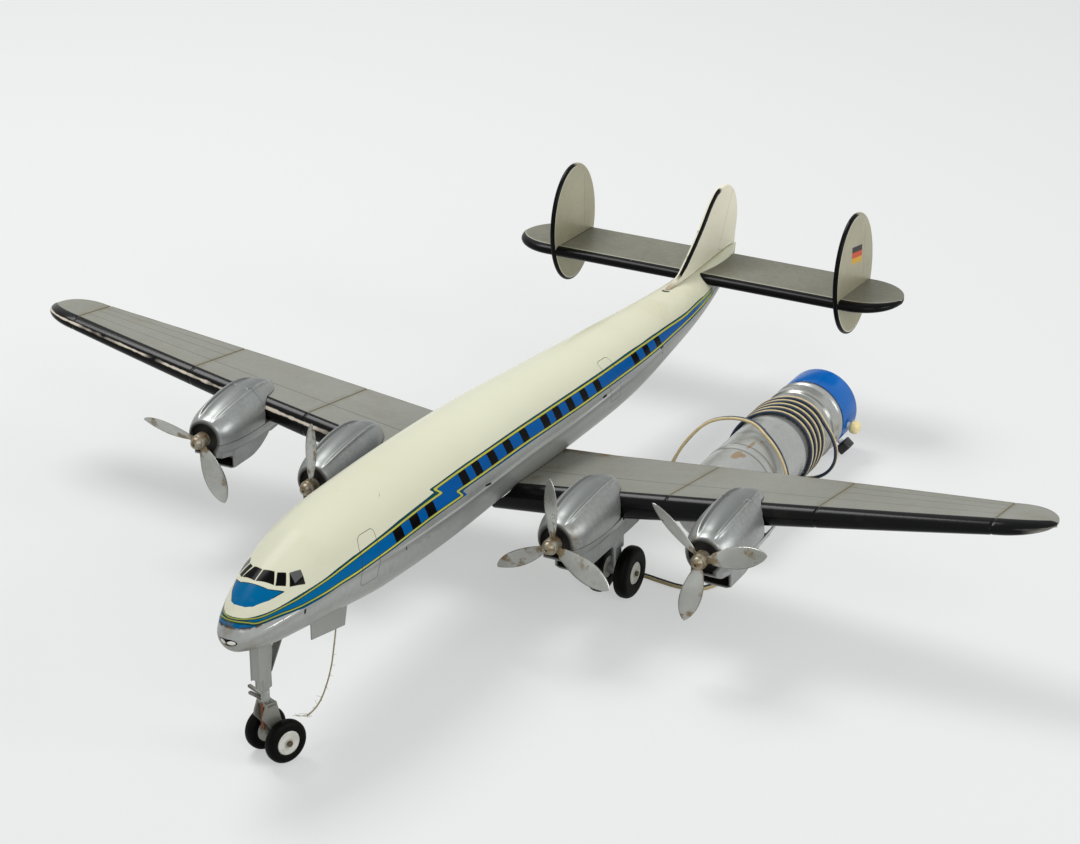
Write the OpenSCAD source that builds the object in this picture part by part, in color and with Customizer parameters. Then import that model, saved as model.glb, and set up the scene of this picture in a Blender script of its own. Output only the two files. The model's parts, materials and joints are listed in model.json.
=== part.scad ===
// Tin toy airliner with four engines, three tail fins and a wired battery handset.
// Millimetres. Nose towards -Y, port wing towards +X, the floor at Z = 0.
// Stations are distances aft of the nose tip.

/* [Body] */
// Length from the nose tip to the last point of the tail
overall_length = 473; // [440:1:520]
// Largest diameter of the body
body_d = 50; // [44:0.5:56]
// Height of the body's centre line where it is widest
body_z = 67.3; // [66:0.1:74]
// Thickness of the tin sheet
tin = 0.5; // [0.4:0.05:0.7]
// Running gap between neighbouring sheets
sheet_gap = 0.25; // [0.2:0.05:0.4]

/* [Wings] */
// Span over both wing tips
span = 510; // [480:1:540]
// Station of the leading edge where the wing meets the body
wing_le_station = 192.5; // [185:0.5:200]
// Chord where the wing meets the body
root_chord = 65.7; // [60:0.1:72]
// Height of the wing's top, at the leading edge band, carried in to the centre line
wing_z = 50.3; // [49:0.1:53]
// Rise of the wing for each millimetre outwards
dihedral = 0.123; // [0.08:0.001:0.15]
// Thickness of the wing at the body
root_thick = 14.2; // [12:0.1:16]
// Thickness of the wing before the tip rounds off
tip_thick = 6.8; // [5:0.1:9]
// Depth of the rounded leading edge, front to back
nose_band = 6.1; // [5:0.1:8]
// Length of the rounded wing tip
tip_round = 21; // [16:0.5:28]
// Width of the strap that joins the wings through the body
spar_w = 20; // [14:0.5:26]
// Thickness of the strap
spar_t = 1.2; // [0.8:0.1:1.6]

/* [Engines] */
// Distance of the inner engines from the centre line
inner_engine_x = 60.3; // [56:0.1:66]
// Distance of the outer engines from the centre line
outer_engine_x = 124.8; // [120:0.1:130]
// Height of the inner propeller shafts
inner_engine_z = 51.3; // [50:0.1:54]
// Height of the outer propeller shafts
outer_engine_z = 55.4; // [54:0.1:58]
// How far the inner spinners stand in front of the wing root's leading edge
inner_engine_ahead = 43.3; // [40:0.1:48]
// How far the outer spinners stand in front of the wing root's leading edge
outer_engine_ahead = 33.3; // [30:0.1:38]
// Half width of a cowl at its widest
cowl_half_w = 13.3; // [12:0.1:15]
// Length from the spinner's tip to the end of a cowl's top
cowl_l = 63; // [60:0.5:66]
// Radius of the round cowl mouth
cowl_mouth_r = 7.6; // [7:0.1:8.5]
// Width of the air scoop
scoop_w = 14; // [10:0.5:16]
// Depth of the air scoop below the shaft
scoop_depth = 19.5; // [17:0.5:22]

/* [Propellers] */
// Diameter of a propeller over the blade tips
prop_d = 62; // [54:0.5:66]
// Width of a blade at its widest
blade_w = 9.6; // [7:0.1:12]
// Thickness of a blade
blade_t = 0.5; // [0.4:0.1:0.8]
// Twist of the blades out of the propeller's plane, in degrees
blade_pitch = 27; // [18:1:34]
// Diameter of the hub barrel
hub_d = 7; // [6:0.1:8]
// Diameter of the propeller shaft
prop_shaft_d = 1.6; // [1.2:0.1:2]
// Clearance between a turning shaft and its hole, on the radius
shaft_play = 0.05; // [0.02:0.01:0.1]

/* [Tail] */
// Span over both tailplane tips
tail_span = 210.8; // [200:0.2:220]
// Chord of the tailplane
tail_chord = 41; // [36:0.5:46]
// Thickness of the tailplane behind its rounded edge
tail_thick = 5.2; // [4:0.1:6.5]
// Height of the tailplane's middle
tail_z = 68; // [67:0.1:69.5]
// How far the tailplane's trailing edge lies in front of the tail end
tail_te_inset = 12.4; // [9:0.1:16]
// Distance of the oval fins from the centre line
fin_x = 78.4; // [72:0.1:84]
// Length of an oval fin, front to back
oval_length = 47.5; // [45:0.5:52]
// Height of an oval fin
oval_height = 63; // [56:0.5:70]
// How far the middle of an oval fin stands above the tailplane
oval_rise = 10; // [6:0.5:14]
// Thickness of the fins
fin_t = 2.4; // [1.6:0.1:3.2]
// Length of the centre fin along the body
fin_length = 81; // [74:0.5:88]
// Height of the centre fin's top
centre_fin_top = 106.5; // [100:0.5:112]

/* [Landing gear] */
// Station of the nose leg
nose_leg_station = 25; // [22:0.5:28]
// Diameter of a nose tyre
nose_tyre_d = 18.6; // [16:0.1:19.5]
// Width of a nose tyre
nose_tyre_w = 5.4; // [4.5:0.1:6]
// Distance between the middles of the two nose tyres
nose_track = 14; // [13.5:0.1:16]
// How far the nose axle trails behind the leg
nose_trail = 4; // [1:0.5:5]
// Steering angle at which the nose wheels stand, to starboard, in degrees
nose_steer = 22; // [0:1:30]
// Diameter of a nose wheel's hub disc
nose_hub_d = 10.6; // [8:0.1:11]
// Station of the main axles
main_axle_station = 216.4; // [210:0.1:220]
// Diameter of a main tyre
main_tyre_d = 24; // [22:0.1:26]
// Width of a main tyre
main_tyre_w = 6.6; // [5:0.1:7]
// Distance between the middles of the two tyres on one main leg
main_track = 13.4; // [13:0.1:15]
// Diameter of a main wheel's hub disc
main_hub_d = 10.4; // [8:0.1:12]
// Diameter of the wheel axles
axle_d = 1.8; // [1.6:0.1:2.4]

/* [Motor] */
// Diameter of the electric motor
motor_d = 22; // [18:0.5:25]
// Length of the motor's case
motor_l = 30; // [24:0.5:34]
// Station of the motor's front end
motor_station = 86; // [84:0.5:92]
// Diameter of the motor shaft
motor_shaft_d = 2; // [1.6:0.1:2.4]

/* [Handset] */
// Distance of the handset from the centre line of the airliner
handset_x = 78.6; // [76:0.1:84]
// Station of the handset's cap end
handset_end_station = 409; // [405:0.5:415]
// Room in the handset beyond the length of its two dry cells
handset_spare = 16.8; // [15:0.1:20]
// Outer diameter of the handset's tube
handset_d = 36; // [35.5:0.1:37]
// Length of the blue cap
cap_l = 18; // [16:0.5:20]
// Length of the raised collar next to the cap
collar_l = 14; // [10:0.5:18]
// Diameter of a dry cell
cell_d = 33; // [32.3:0.1:33.5]
// Length of a dry cell
cell_l = 59.6; // [59:0.1:61.5]
// Side of the square black button
black_button_w = 6.6; // [5:0.1:7]
// Diameter of the round cream button
cream_button_d = 6.8; // [5:0.1:7]
// Travel of the buttons
button_travel = 1.5; // [1:0.1:2]

/* [Cable] */
// Width of the flat twin cable
cable_w = 3; // [2.6:0.1:3.2]
// Thickness of the flat twin cable
cable_t = 1.5; // [1.3:0.05:1.5]
// Distance from turn to turn of the cable wound on the handset
turn_pitch = 4.6; // [4.2:0.1:5]
// Diameter of the loose string at the nose
string_d = 1; // [0.8:0.1:1.4]

/* [Hidden] */

cream = [0.93, 0.92, 0.82];
silver = [0.66, 0.67, 0.66];
olive_silver = [0.55, 0.55, 0.50];
black = [0.05, 0.05, 0.05];
rusty = [0.42, 0.30, 0.18];
blue = [0.05, 0.32, 0.68];

half_span = span / 2;
root_x = 20;
// The largest gap that a curved sheet's flat facets need to a neighbour
facet_gap = 0.3;

function y_at(station) = station - overall_length / 2;
function clamp(v, low, high) = min(high, max(low, v));
function mix(a, b, t) = a + (b - a) * t;

// Body outline: share of the length, rise of the centre line, share of the radius
BODY = [[0, -2.1, 0.012], [0.006, -1.7, 0.228], [0.017, -1.1, 0.356], [0.0275, -0.5, 0.44],
    [0.0486, 0.7, 0.572], [0.07, 1.8, 0.668], [0.091, 2.7, 0.748], [0.112, 3.5, 0.812],
    [0.154, 2.9, 0.912], [0.197, 1.8, 0.968], [0.302, 0, 1], [0.429, -2, 0.952],
    [0.556, -6.1, 0.88], [0.683, -9.4, 0.784], [0.789, -9.5, 0.616], [0.873, -8, 0.468],
    [0.937, -3.8, 0.328], [0.979, 0.2, 0.168], [1, 2.2, 0.03]];

// Smooth curve through the rows of a table, column k against column 0
function row_below(t, v, i = 0) = i >= len(t) - 2 || v < t[i + 1][0] ? i : row_below(t, v, i + 1);
function slope_at(t, i, k) =
    i == 0 ? (t[1][k] - t[0][k]) / (t[1][0] - t[0][0]) :
    i == len(t) - 1 ? (t[i][k] - t[i - 1][k]) / (t[i][0] - t[i - 1][0]) :
    (t[i + 1][k] - t[i - 1][k]) / (t[i + 1][0] - t[i - 1][0]);
function blend(a, b, ma, mb, h, t) =
    (2 * t ^ 3 - 3 * t ^ 2 + 1) * a + (t ^ 3 - 2 * t ^ 2 + t) * h * ma
    + (3 * t ^ 2 - 2 * t ^ 3) * b + (t ^ 3 - t ^ 2) * h * mb;
function curve(t, v, k, i) =
    blend(t[i][k], t[i + 1][k], slope_at(t, i, k), slope_at(t, i + 1, k),
        t[i + 1][0] - t[i][0], (v - t[i][0]) / (t[i + 1][0] - t[i][0]));
function along(t, v, k) = curve(t, v, k, row_below(t, v));
function straight(t, v, k) =
    let(i = row_below(t, v))
    mix(t[i][k], t[i + 1][k], clamp((v - t[i][0]) / (t[i + 1][0] - t[i][0]), 0, 1));

function share(station) = clamp(station / overall_length, 0, BODY[len(BODY) - 1][0]);
function body_centre(station) = body_z + along(BODY, share(station), 1);
function body_radius(station) = body_d / 2 * along(BODY, share(station), 2);
function body_top(station) = body_centre(station) + body_radius(station);
function body_bottom(station) = body_centre(station) - body_radius(station);
function body_half_width(station, z) =
    sqrt(max(0.01, body_radius(station) ^ 2 - (z - body_centre(station)) ^ 2));

// Closed sheet between an outer and an inner grid of points, rows by columns
function flat_list(grid) = [for (row = grid) for (p = row) p];
function cell(a, b, c, d) = [[a, b, c], [a, c, d]];
function sheet_faces(rows, cols, turned) =
    let(
        n = rows * cols,
        outer = [for (i = [0:rows - 2]) for (j = [0:cols - 2])
            for (f = cell(i * cols + j, i * cols + j + 1, (i + 1) * cols + j + 1, (i + 1) * cols + j)) f],
        inner = [for (f = outer) [f[0] + n, f[2] + n, f[1] + n]],
        ends = [for (j = [0:cols - 2]) for (f = concat(
            cell(j + 1, j, j + n, j + 1 + n),
            cell(n - cols + j, n - cols + j + 1, 2 * n - cols + j + 1, 2 * n - cols + j))) f],
        sides = [for (i = [0:rows - 2]) for (f = concat(
            cell(i * cols, (i + 1) * cols, (i + 1) * cols + n, i * cols + n),
            cell((i + 2) * cols - 1, (i + 1) * cols - 1, (i + 1) * cols - 1 + n,
                (i + 2) * cols - 1 + n))) f],
        all_faces = concat(outer, inner, ends, sides)
    )
    turned ? [for (f = all_faces) [f[0], f[2], f[1]]] : all_faces;
module sheet(outer, inner, turned = false) {
    polyhedron(
        points = concat(flat_list(outer), flat_list(inner)),
        faces = sheet_faces(len(outer), len(outer[0]), turned),
        convexity = 8);
}

// Body shells
SHELL_SHARES = concat([0, 0.002, 0.006, 0.012, 0.019, 0.03, 0.042, 0.06, 0.08, 0.106, 0.135, 0.169, 0.211],
    [for (i = [1:12]) mix(0.211, 0.814, i / 12)], [for (i = [1:8]) mix(0.814, 0.9999, i / 8)]);
SHELL_STATIONS = [for (f = SHELL_SHARES) f * overall_length];
SHELL_ARC = 14;
function shell_ring(station, from_angle, to_angle, inset) =
    let(
        r = max(0.15, body_radius(station) - inset),
        aft = inset * clamp(1 - station / 20, 0, 1),
        fore = inset * clamp((station - overall_length * 0.93) / 30, 0, 1)
    )
    [for (j = [0:SHELL_ARC])
        let(angle = mix(from_angle, to_angle, j / SHELL_ARC))
        [r * cos(angle), y_at(station) + aft - fore, body_centre(station) + r * sin(angle)]];
module body_half(from_angle, to_angle) {
    sheet(
        [for (s = SHELL_STATIONS) shell_ring(s, from_angle, to_angle, 0)],
        [for (s = SHELL_STATIONS) shell_ring(s, from_angle, to_angle, tin)]);
}
module upper_body_shell() {
    color(cream)
        body_half(0, 180);
}

// Wing strap and the slots that it passes through
spar_station = wing_le_station + 29.5;
spar_rise = wing_z - 8;
spar_reach = inner_engine_x - 6;
module spar_half(extra) {
    translate([0, y_at(spar_station), spar_rise])
        rotate([0, -atan(dihedral), 0])
            translate([-1, -spar_w / 2 - extra, -spar_t / 2 - extra])
                cube([spar_reach, spar_w + 2 * extra, spar_t + 2 * extra]);
}
module both_sides() {
    children();
    mirror([1, 0, 0])
        children();
}
module wing_spar() {
    color(silver)
        both_sides()
            spar_half(0);
}

// Nose leg sizes that the body's opening and the leg share
housing_w = 4.4;
housing_front = 6.6;
housing_back = 3;
leg_y = y_at(nose_leg_station);
door_x = 9;
door_station = nose_leg_station + 21;
door_l = 28;
door_drop = 8.5;
door_tab = 3;
string_hole = [6.5, nose_leg_station + 43, string_d / 2 + 0.3];
module lower_body_shell() {
    color(silver)
        difference() {
            body_half(180.6, 359.4);
            for (side = [0, 1])
                mirror([side, 0, 0])
                    spar_half(facet_gap);
            translate([-housing_w / 2 - facet_gap, leg_y - housing_front - facet_gap, 40])
                cube([housing_w + 2 * facet_gap, housing_front + housing_back + 2 * facet_gap, 25]);
            for (side = [-1, 1])
                translate([side * door_x - tin / 2 - facet_gap, y_at(door_station) - facet_gap, 40])
                    cube([tin + 2 * facet_gap, door_l + 2 * facet_gap, body_z - 45]);
            translate([string_hole[0] - string_hole[2], y_at(string_hole[1]) - string_hole[2], 35])
                cube([2 * string_hole[2], 2 * string_hole[2], 20]);
        }
}

// Doors behind the nose leg, a plate on each side with its edge inside the body
function door_top(station) =
    body_centre(station) - sqrt(max(0, (body_radius(station)) ^ 2 - door_x ^ 2));
module nose_gear_doors() {
    tops = [for (i = [0:6]) let(s = door_station + door_l * i / 6) [y_at(s), door_top(s) + door_tab]];
    lows = [[y_at(door_station + door_l - 3), door_top(door_station + door_l) - door_drop],
        [y_at(door_station), door_top(door_station) - door_drop + 1]];
    color(silver)
        for (side = [-1, 1])
            translate([side * door_x - tin / 2, 0, 0])
                rotate([90, 0, 90])
                    linear_extrude(tin)
                        polygon(concat(tops, lows));
}

// Wing surfaces, for x outwards from the centre line
le_lean = 0.06;
le_curve = 0.00021;
te_lean = -0.02;
te_curve = -0.00017;
top_fall = 0.161;
te_thick = 2 * tin + sheet_gap;
plane_station = wing_le_station + 7.5;
round_x = half_span - tip_round;
function tip_factor(x) = x <= round_x ? 1 : sqrt(max(0.004, 1 - ((x - round_x) / tip_round) ^ 2));
function le_line(x) = wing_le_station + le_lean * (x - root_x) + le_curve * (x - root_x) ^ 2;
function te_line(x) = wing_le_station + root_chord + te_lean * (x - root_x) + te_curve * (x - root_x) ^ 2;
function mid_line(x) = (le_line(min(x, round_x)) + te_line(min(x, round_x))) / 2 + 0.1 * max(0, x - round_x);
function half_chord(x) = (te_line(min(x, round_x)) - le_line(min(x, round_x))) / 2 * tip_factor(x);
function wing_le(x) = mid_line(x) - half_chord(x);
function wing_te(x) = mid_line(x) + half_chord(x);
function wing_band(x) = min(nose_band, 0.4 * 2 * half_chord(x));
function wing_thick(x) =
    max(2 * tin + 0.8, mix(root_thick, tip_thick, (min(x, round_x) - root_x) / (round_x - root_x))
        * tip_factor(x));
function wing_sink(x) = (tip_thick / 2) * (1 - tip_factor(x));
function wing_plane(x, s) = wing_z + dihedral * x - top_fall * (s - plane_station) - wing_sink(x);
function wing_shade(x, s) =
    let(a = wing_le(x) + wing_band(x), b = wing_te(x))
    mix(wing_thick(x), te_thick, clamp((s - a) / max(0.1, b - a), 0, 1));
function wing_top(x, s) =
    let(a = wing_le(x) + wing_band(x), half = wing_thick(x) / 2)
    s >= a ? wing_plane(x, s) :
    wing_plane(x, a) - half + half * sqrt(max(0, 1 - ((a - s) / wing_band(x)) ^ 2));
function wing_under(x, s) =
    let(a = wing_le(x) + wing_band(x), half = wing_thick(x) / 2)
    s >= a ? wing_plane(x, s) - wing_shade(x, s) :
    wing_plane(x, a) - half - half * sqrt(max(0, 1 - ((a - s) / wing_band(x)) ^ 2));

// Upper skin: over the top, round the leading edge and under to the lower seam
TOP_SHARES = [1, 0.8, 0.6, 0.4, 0.2];
EDGE_STEPS = 8;
function skin_section(x, inset) =
    let(
        a = wing_le(x) + wing_band(x),
        half = wing_thick(x) / 2,
        middle = wing_plane(x, a) - half
    )
    concat(
        [for (f = TOP_SHARES) let(s = mix(a, wing_te(x), f)) [x, s, wing_plane(x, s) - inset]],
        [for (i = [0:EDGE_STEPS]) let(angle = 90 - 180 * i / EDGE_STEPS)
            [x, a - (wing_band(x) - inset) * cos(angle), middle + (half - inset) * sin(angle)]]);
belly_rise = 2;
function at_body(points) =
    [for (p = points)
        [body_half_width(p[1], max(p[2], body_bottom(p[1]) + belly_rise)) + facet_gap, p[1], p[2]]];
function placed(points) = [for (p = points) [p[0], y_at(p[1]), p[2]]];
WING_STEPS = concat([40, 62, 92, 125, 158, 195],
    [for (f = [0, 0.3, 0.55, 0.75, 0.9, 0.98, 1]) round_x + tip_round * f]);
function pulled_in(x) = root_x + (x - root_x) * (1 - 2 * tin / (half_span - root_x));
module wing_upper_skin() {
    outer = concat([placed(at_body(skin_section(root_x, 0)))],
        [for (x = WING_STEPS) placed(skin_section(x, 0))]);
    inner = concat([placed(at_body(skin_section(root_x, tin)))],
        [for (x = WING_STEPS) placed(skin_section(pulled_in(x), tin))]);
    sheet(outer, inner, true);
}
function lower_section(x, inset) =
    let(a = wing_le(x) + wing_band(x) + sheet_gap, b = max(a + 0.6, wing_te(x) - sheet_gap))
    [for (i = [0:4]) let(s = mix(a, b, i / 4)) [x, s, wing_under(x, s) + inset]];
module wing_lower_skin() {
    steps = [for (x = WING_STEPS) if (x < half_span - 0.3) x];
    outer = concat([placed(at_body(lower_section(root_x, 0)))],
        [for (x = steps) placed(lower_section(x, 0))]);
    inner = concat([placed(at_body(lower_section(root_x, tin)))],
        [for (x = steps) placed(lower_section(x, tin))]);
    sheet(outer, inner, true);
}
module port_wing_upper_skin() {
    color(olive_silver)
        wing_upper_skin();
}
// The cable leaves the port wing through a hole behind the inner engine
cable_hole_x = inner_engine_x - 10.5;
cable_hole_station = wing_le_station + 43.5;
cable_hole_z = wing_under(cable_hole_x, cable_hole_station);
module port_wing_lower_skin() {
    color(olive_silver)
        difference() {
            wing_lower_skin();
            translate([cable_hole_x, y_at(cable_hole_station), cable_hole_z - 5])
                cylinder(h = 10, r = cable_w / 2 + 0.35, $fn = 48);
        }
}
module starboard_wing_upper_skin() {
    color(olive_silver)
        mirror([1, 0, 0])
            wing_upper_skin();
}
module starboard_wing_lower_skin() {
    color(olive_silver)
        mirror([1, 0, 0])
            wing_lower_skin();
}

// Engines: distance out, station of the spinner tip, height, length of the lower cowl,
// where the floor of its scoop begins to rise and where it meets the cowl
OUTER = [outer_engine_x, wing_le_station - outer_engine_ahead, outer_engine_z, 0.984 * cowl_l,
    0.54 * cowl_l, 0.825 * cowl_l];
INNER = [inner_engine_x, wing_le_station - inner_engine_ahead, inner_engine_z, 1.4 * cowl_l,
    1.22 * cowl_l, 1.4 * cowl_l];
seam_drop = -2;
mouth_back = 0.1397 * cowl_l;
// Cowl rows: share of the length behind the spinner tip, shares of the half width across and up
TOP_ROWS = [[0.1397, 0.571, 0.5714], [0.1524, 0.66, 0.6617], [0.1905, 0.76, 0.7444],
    [0.2698, 0.88, 0.8872], [0.381, 0.96, 1.0075], [0.5238, 1, 1.0977], [0.6349, 0.98, 1.1278],
    [0.7302, 0.93, 1.1128], [0.8254, 0.8, 1.0226], [0.9206, 0.6, 0.8421], [1, 0.32, 0.5564]];
LOW_ROWS = [[0.1397, 0.571, 0.5714], [0.1524, 0.66, 0.6617], [0.1905, 0.76, 0.7444],
    [0.2667, 0.88, 0.8271], [0.3492, 0.95, 0.9023], [0.4762, 1, 0.9398], [0.6349, 1, 0.9624],
    [0.7937, 0.96, 0.9474], [0.9206, 0.92, 0.9], [1.2, 0.85, 0.84],
    [1.3, 0.78, 0.74], [1.4, 0.66, 0.6]];
function cowl_table(rows) = [for (r = rows) [r[0] * cowl_l, r[1], r[2] * cowl_half_w]];
COWL_TOP = cowl_table(TOP_ROWS);
COWL_LOW = cowl_table(LOW_ROWS);
COWL_ARC = 11;
function cowl_half(t, a) = a <= mouth_back ? cowl_mouth_r : cowl_half_w * straight(t, a, 1);
// Where the wing's leading edge begins beside a cowl's edge, x to port of the engine
function le_beside(e, x) = min(wing_le(e[0] + x), wing_le(e[0] + 0.7 * x)) - e[1];
function over_wing(e, x, a) = a >= le_beside(e, x) - 0.55;
function wing_over(e, x, a) =
    max([for (f = [1, 0.7]) let(px = e[0] + f * x)
        wing_top(px, max(e[1] + a, wing_le(px) + 0.25))]) - e[2];
function wing_below(e, x, a) =
    min([for (f = [1, 0.7]) let(px = e[0] + f * x)
        wing_under(px, max(e[1] + a, wing_le(px) + 0.25))]) - e[2];
function top_edge(e, x, a) =
    over_wing(e, x, a) ? max(seam_drop, wing_over(e, x, a) + facet_gap) : seam_drop;
function top_height(e, a) =
    over_wing(e, 0, a) ? max(straight(COWL_TOP, a, 2), wing_over(e, 0, a) + facet_gap + 2 * tin + 0.3)
    : straight(COWL_TOP, a, 2);
function cowl_top_ring(e, a, inset) =
    let(
        w = cowl_half(COWL_TOP, a) - inset,
        t = top_height(e, a) - inset,
        low_p = top_edge(e, w, a),
        low_s = top_edge(e, -w, a),
        angle_p = asin(clamp(low_p / t, -0.9, 0.96)),
        angle_s = 180 - asin(clamp(low_s / t, -0.9, 0.96))
    )
    [for (j = [0:COWL_ARC]) let(angle = mix(angle_p, angle_s, j / COWL_ARC))
        [e[0] + w * cos(angle), y_at(e[1] + a), e[2] + t * sin(angle)]];
function in_order(v) =
    len(v) < 2 ? v :
    concat(in_order([for (x = v) if (x < v[0]) x]), [v[0]], in_order([for (x = v) if (x > v[0]) x]));
function spaced(v, least) = [for (i = [0:len(v) - 1]) if (i == 0 || v[i] - v[i - 1] > least) v[i]];
LE_ROWS = [-1.1, -0.35, 0.25, 0.9, 2, 4.2, 6.3];
function cowl_rows(e, rows, last) =
    let(
        w = cowl_half(rows, wing_le(e[0]) - e[1]),
        starts = [le_beside(e, -w), le_beside(e, w)],
        own = [for (r = rows)
            if (r[0] < min(starts) - 1.5 || (r[0] > max(starts) + 6.8 && r[0] < last - 1)) r[0]]
    )
    spaced(in_order(concat(own, [for (q = starts) for (d = LE_ROWS) q + d], [last])), 0.06);
module cowl_top(e) {
    rows = cowl_rows(e, COWL_TOP, cowl_l);
    color(silver)
        sheet([for (a = rows) cowl_top_ring(e, a, 0)], [for (a = rows) cowl_top_ring(e, a, tin)]);
}

// Lower cowl with its scoop; a square opening behind the scoop's lip lets the air in
scoop_front = 0.349 * cowl_l;
bay_front = 0.62 * cowl_l;
bay_back = 1.27 * cowl_l;
function low_edge(e, x, a) =
    over_wing(e, x, a) ? min(seam_drop - sheet_gap, wing_below(e, x, a) - facet_gap)
    : seam_drop - sheet_gap;
function low_depth(e, a) =
    max(straight(COWL_LOW, a, 2), over_wing(e, 0, a) ? 2 * tin + 0.8 - wing_below(e, 0, a) : 0);
function scoop_at(e, a, inset) =
    let(back = max(0, (a - e[4]) / (e[5] - e[4])))
    a < scoop_front + inset || a > e[5] ? 0 :
    scoop_depth - (scoop_depth - low_depth(e, e[5])) * back ^ 2 - inset;
function ellipse_z(w, d, x) = -d * sqrt(max(0, 1 - (x / w) ^ 2));
function cowl_low_ring(e, a, inset) =
    let(
        w = cowl_half(COWL_LOW, a) - inset,
        d = low_depth(e, a) - inset,
        edge_p = low_edge(e, w, a),
        edge_s = low_edge(e, -w, a),
        x_p = w * sqrt(1 - clamp(edge_p / d, -0.97, 0) ^ 2),
        x_s = w * sqrt(1 - clamp(edge_s / d, -0.97, 0) ^ 2),
        c = min(scoop_w / 2, 0.72 * min(x_p, x_s)) - inset,
        deep = max(scoop_at(e, a, inset), d),
        side = [for (i = [0:4]) 1 - (1 - cos(90 * i / 4))],
        p_side = [for (i = [0:3]) mix(c + 0.15, x_p, cos(90 * i / 4))],
        s_side = [for (i = [3:-1:0]) -mix(c + 0.15, x_s, cos(90 * i / 4))]
    )
    concat(
        [for (x = p_side) [e[0] + x, y_at(e[1] + a), e[2] + min(edge_p, ellipse_z(w, d, x))]],
        [[e[0] + c + 0.1, y_at(e[1] + a), e[2] + ellipse_z(w, d, c + 0.1)]],
        [for (f = [1, 0.34, -0.34, -1]) let(x = c * f)
            [e[0] + x, y_at(e[1] + a), e[2] + min(ellipse_z(w, d, x), -deep)]],
        [[e[0] - c - 0.1, y_at(e[1] + a), e[2] + ellipse_z(w, d, c + 0.1)]],
        [for (x = s_side) [e[0] + x, y_at(e[1] + a), e[2] + min(edge_s, ellipse_z(w, d, x))]]);
module cowl_bottom(e, bay) {
    rows = cowl_rows(e, COWL_LOW, e[3]);
    front = [for (a = rows) if (a < scoop_front - 1) a];
    back = [for (a = rows) if (a > scoop_front + 3) a];
    outer_rows = concat(front, [scoop_front - 0.1, scoop_front], back);
    inner_rows = concat(front, [scoop_front - 0.1 + tin, scoop_front + tin], back);
    color(silver)
        difference() {
            sheet([for (a = outer_rows) cowl_low_ring(e, a, 0)],
                [for (a = inner_rows) cowl_low_ring(e, a, tin)], true);
            translate([e[0] - scoop_w / 2 + 1.2, y_at(e[1] + scoop_front) - 2, e[2] - scoop_depth + 1])
                cube([scoop_w - 2.4, 4, 4.6]);
            if (bay)
                translate([e[0] - scoop_w / 2 + tin + 0.6, y_at(e[1]) + bay_front, e[2] - scoop_depth - 1])
                    cube([scoop_w - 2 * tin - 1.2, bay_back - bay_front, 12]);
        }
}
module port_outer_cowl_top() {
    cowl_top(OUTER);
}
module port_inner_cowl_top() {
    cowl_top(INNER);
}
module starboard_inner_cowl_top() {
    mirror([1, 0, 0])
        cowl_top(INNER);
}
module starboard_outer_cowl_top() {
    mirror([1, 0, 0])
        cowl_top(OUTER);
}
module port_outer_cowl_bottom() {
    cowl_bottom(OUTER, false);
}
module port_inner_cowl_bottom() {
    cowl_bottom(INNER, true);
}
module starboard_inner_cowl_bottom() {
    mirror([1, 0, 0])
        cowl_bottom(INNER, true);
}
module starboard_outer_cowl_bottom() {
    mirror([1, 0, 0])
        cowl_bottom(OUTER, false);
}

// Plates that carry the propeller shafts, inside the mouth of each cowl
plate_back = 12.4;
plate_t = 1.5;
plate_r = cowl_half_w * 0.76 - tin - facet_gap - 0.4;
module along_y(station) {
    translate([0, y_at(station), 0])
        rotate([-90, 0, 0])
            children();
}
module bearing_plate(e) {
    translate([e[0], 0, e[2]])
        along_y(e[1] + plate_back)
            difference() {
                union() {
                    cylinder(h = plate_t, r = plate_r, $fn = 64);
                    translate([0, 0, plate_t - 0.5])
                        cylinder(h = 6.5, d = prop_shaft_d + 2.4, $fn = 48);
                }
                translate([0, 0, -1])
                    cylinder(h = 12, d = prop_shaft_d + 2 * shaft_play, $fn = 48);
            }
}
module bearing_plates() {
    color([0.16, 0.15, 0.14])
        both_sides() {
            bearing_plate(OUTER);
            bearing_plate(INNER);
        }
}

// Propellers: shaft with a collar behind the plate, barrel hub with a round spinner, blades
hub_l = 6.4;
spinner_r = 2.9;
hub_front = 2.6;
module prop_shaft(e) {
    color("silver")
        translate([e[0], 0, e[2]])
            along_y(e[1] + 3)
                union() {
                    cylinder(h = plate_back + 6.5 + 1.2, d = prop_shaft_d, $fn = 32);
                    translate([0, 0, plate_back + plate_t + 6 - 3 + 0.3])
                        cylinder(h = 1.4, d = prop_shaft_d + 2.2, $fn = 32);
                }
}
module prop_hub(e) {
    color([0.55, 0.53, 0.48])
        translate([e[0], 0, e[2]])
            along_y(e[1])
                difference() {
                    rotate_extrude($fn = 48)
                        polygon(concat(
                            [[0, 0]],
                            [for (i = [1:6]) let(a = 90 * i / 6)
                                [spinner_r * sin(a), spinner_r * (1 - cos(a))]],
                            [[hub_d / 2 - 0.3, spinner_r + 0.2], [hub_d / 2, spinner_r + 0.6],
                                [hub_d / 2, hub_front + hub_l - 0.4], [hub_d / 2 - 0.4, hub_front + hub_l],
                                [0, hub_front + hub_l]]));
                    translate([0, 0, 2.9])
                        cylinder(h = 10, d = prop_shaft_d + 0.02, $fn = 32);
                    for (k = [0:2])
                        rotate([0, 0, -blade_root_angle(e) - 120 * k])
                            translate([hub_d / 2 - 0.9, 0, hub_front + hub_l / 2])
                                rotate([blade_pitch, 0, 0])
                                    translate([0, -blade_root_w / 2 - 0.05, -blade_t / 2 - 0.03])
                                        cube([3, blade_root_w + 0.1, blade_t + 0.06]);
                }
}
blade_root_w = 3.2;
function blade_root_angle(e) = e[4];
function blade_half(u) = blade_w / 2 * sin(180 * (0.1 + 0.9 * u) ^ 1.35) ^ 0.62;
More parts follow.
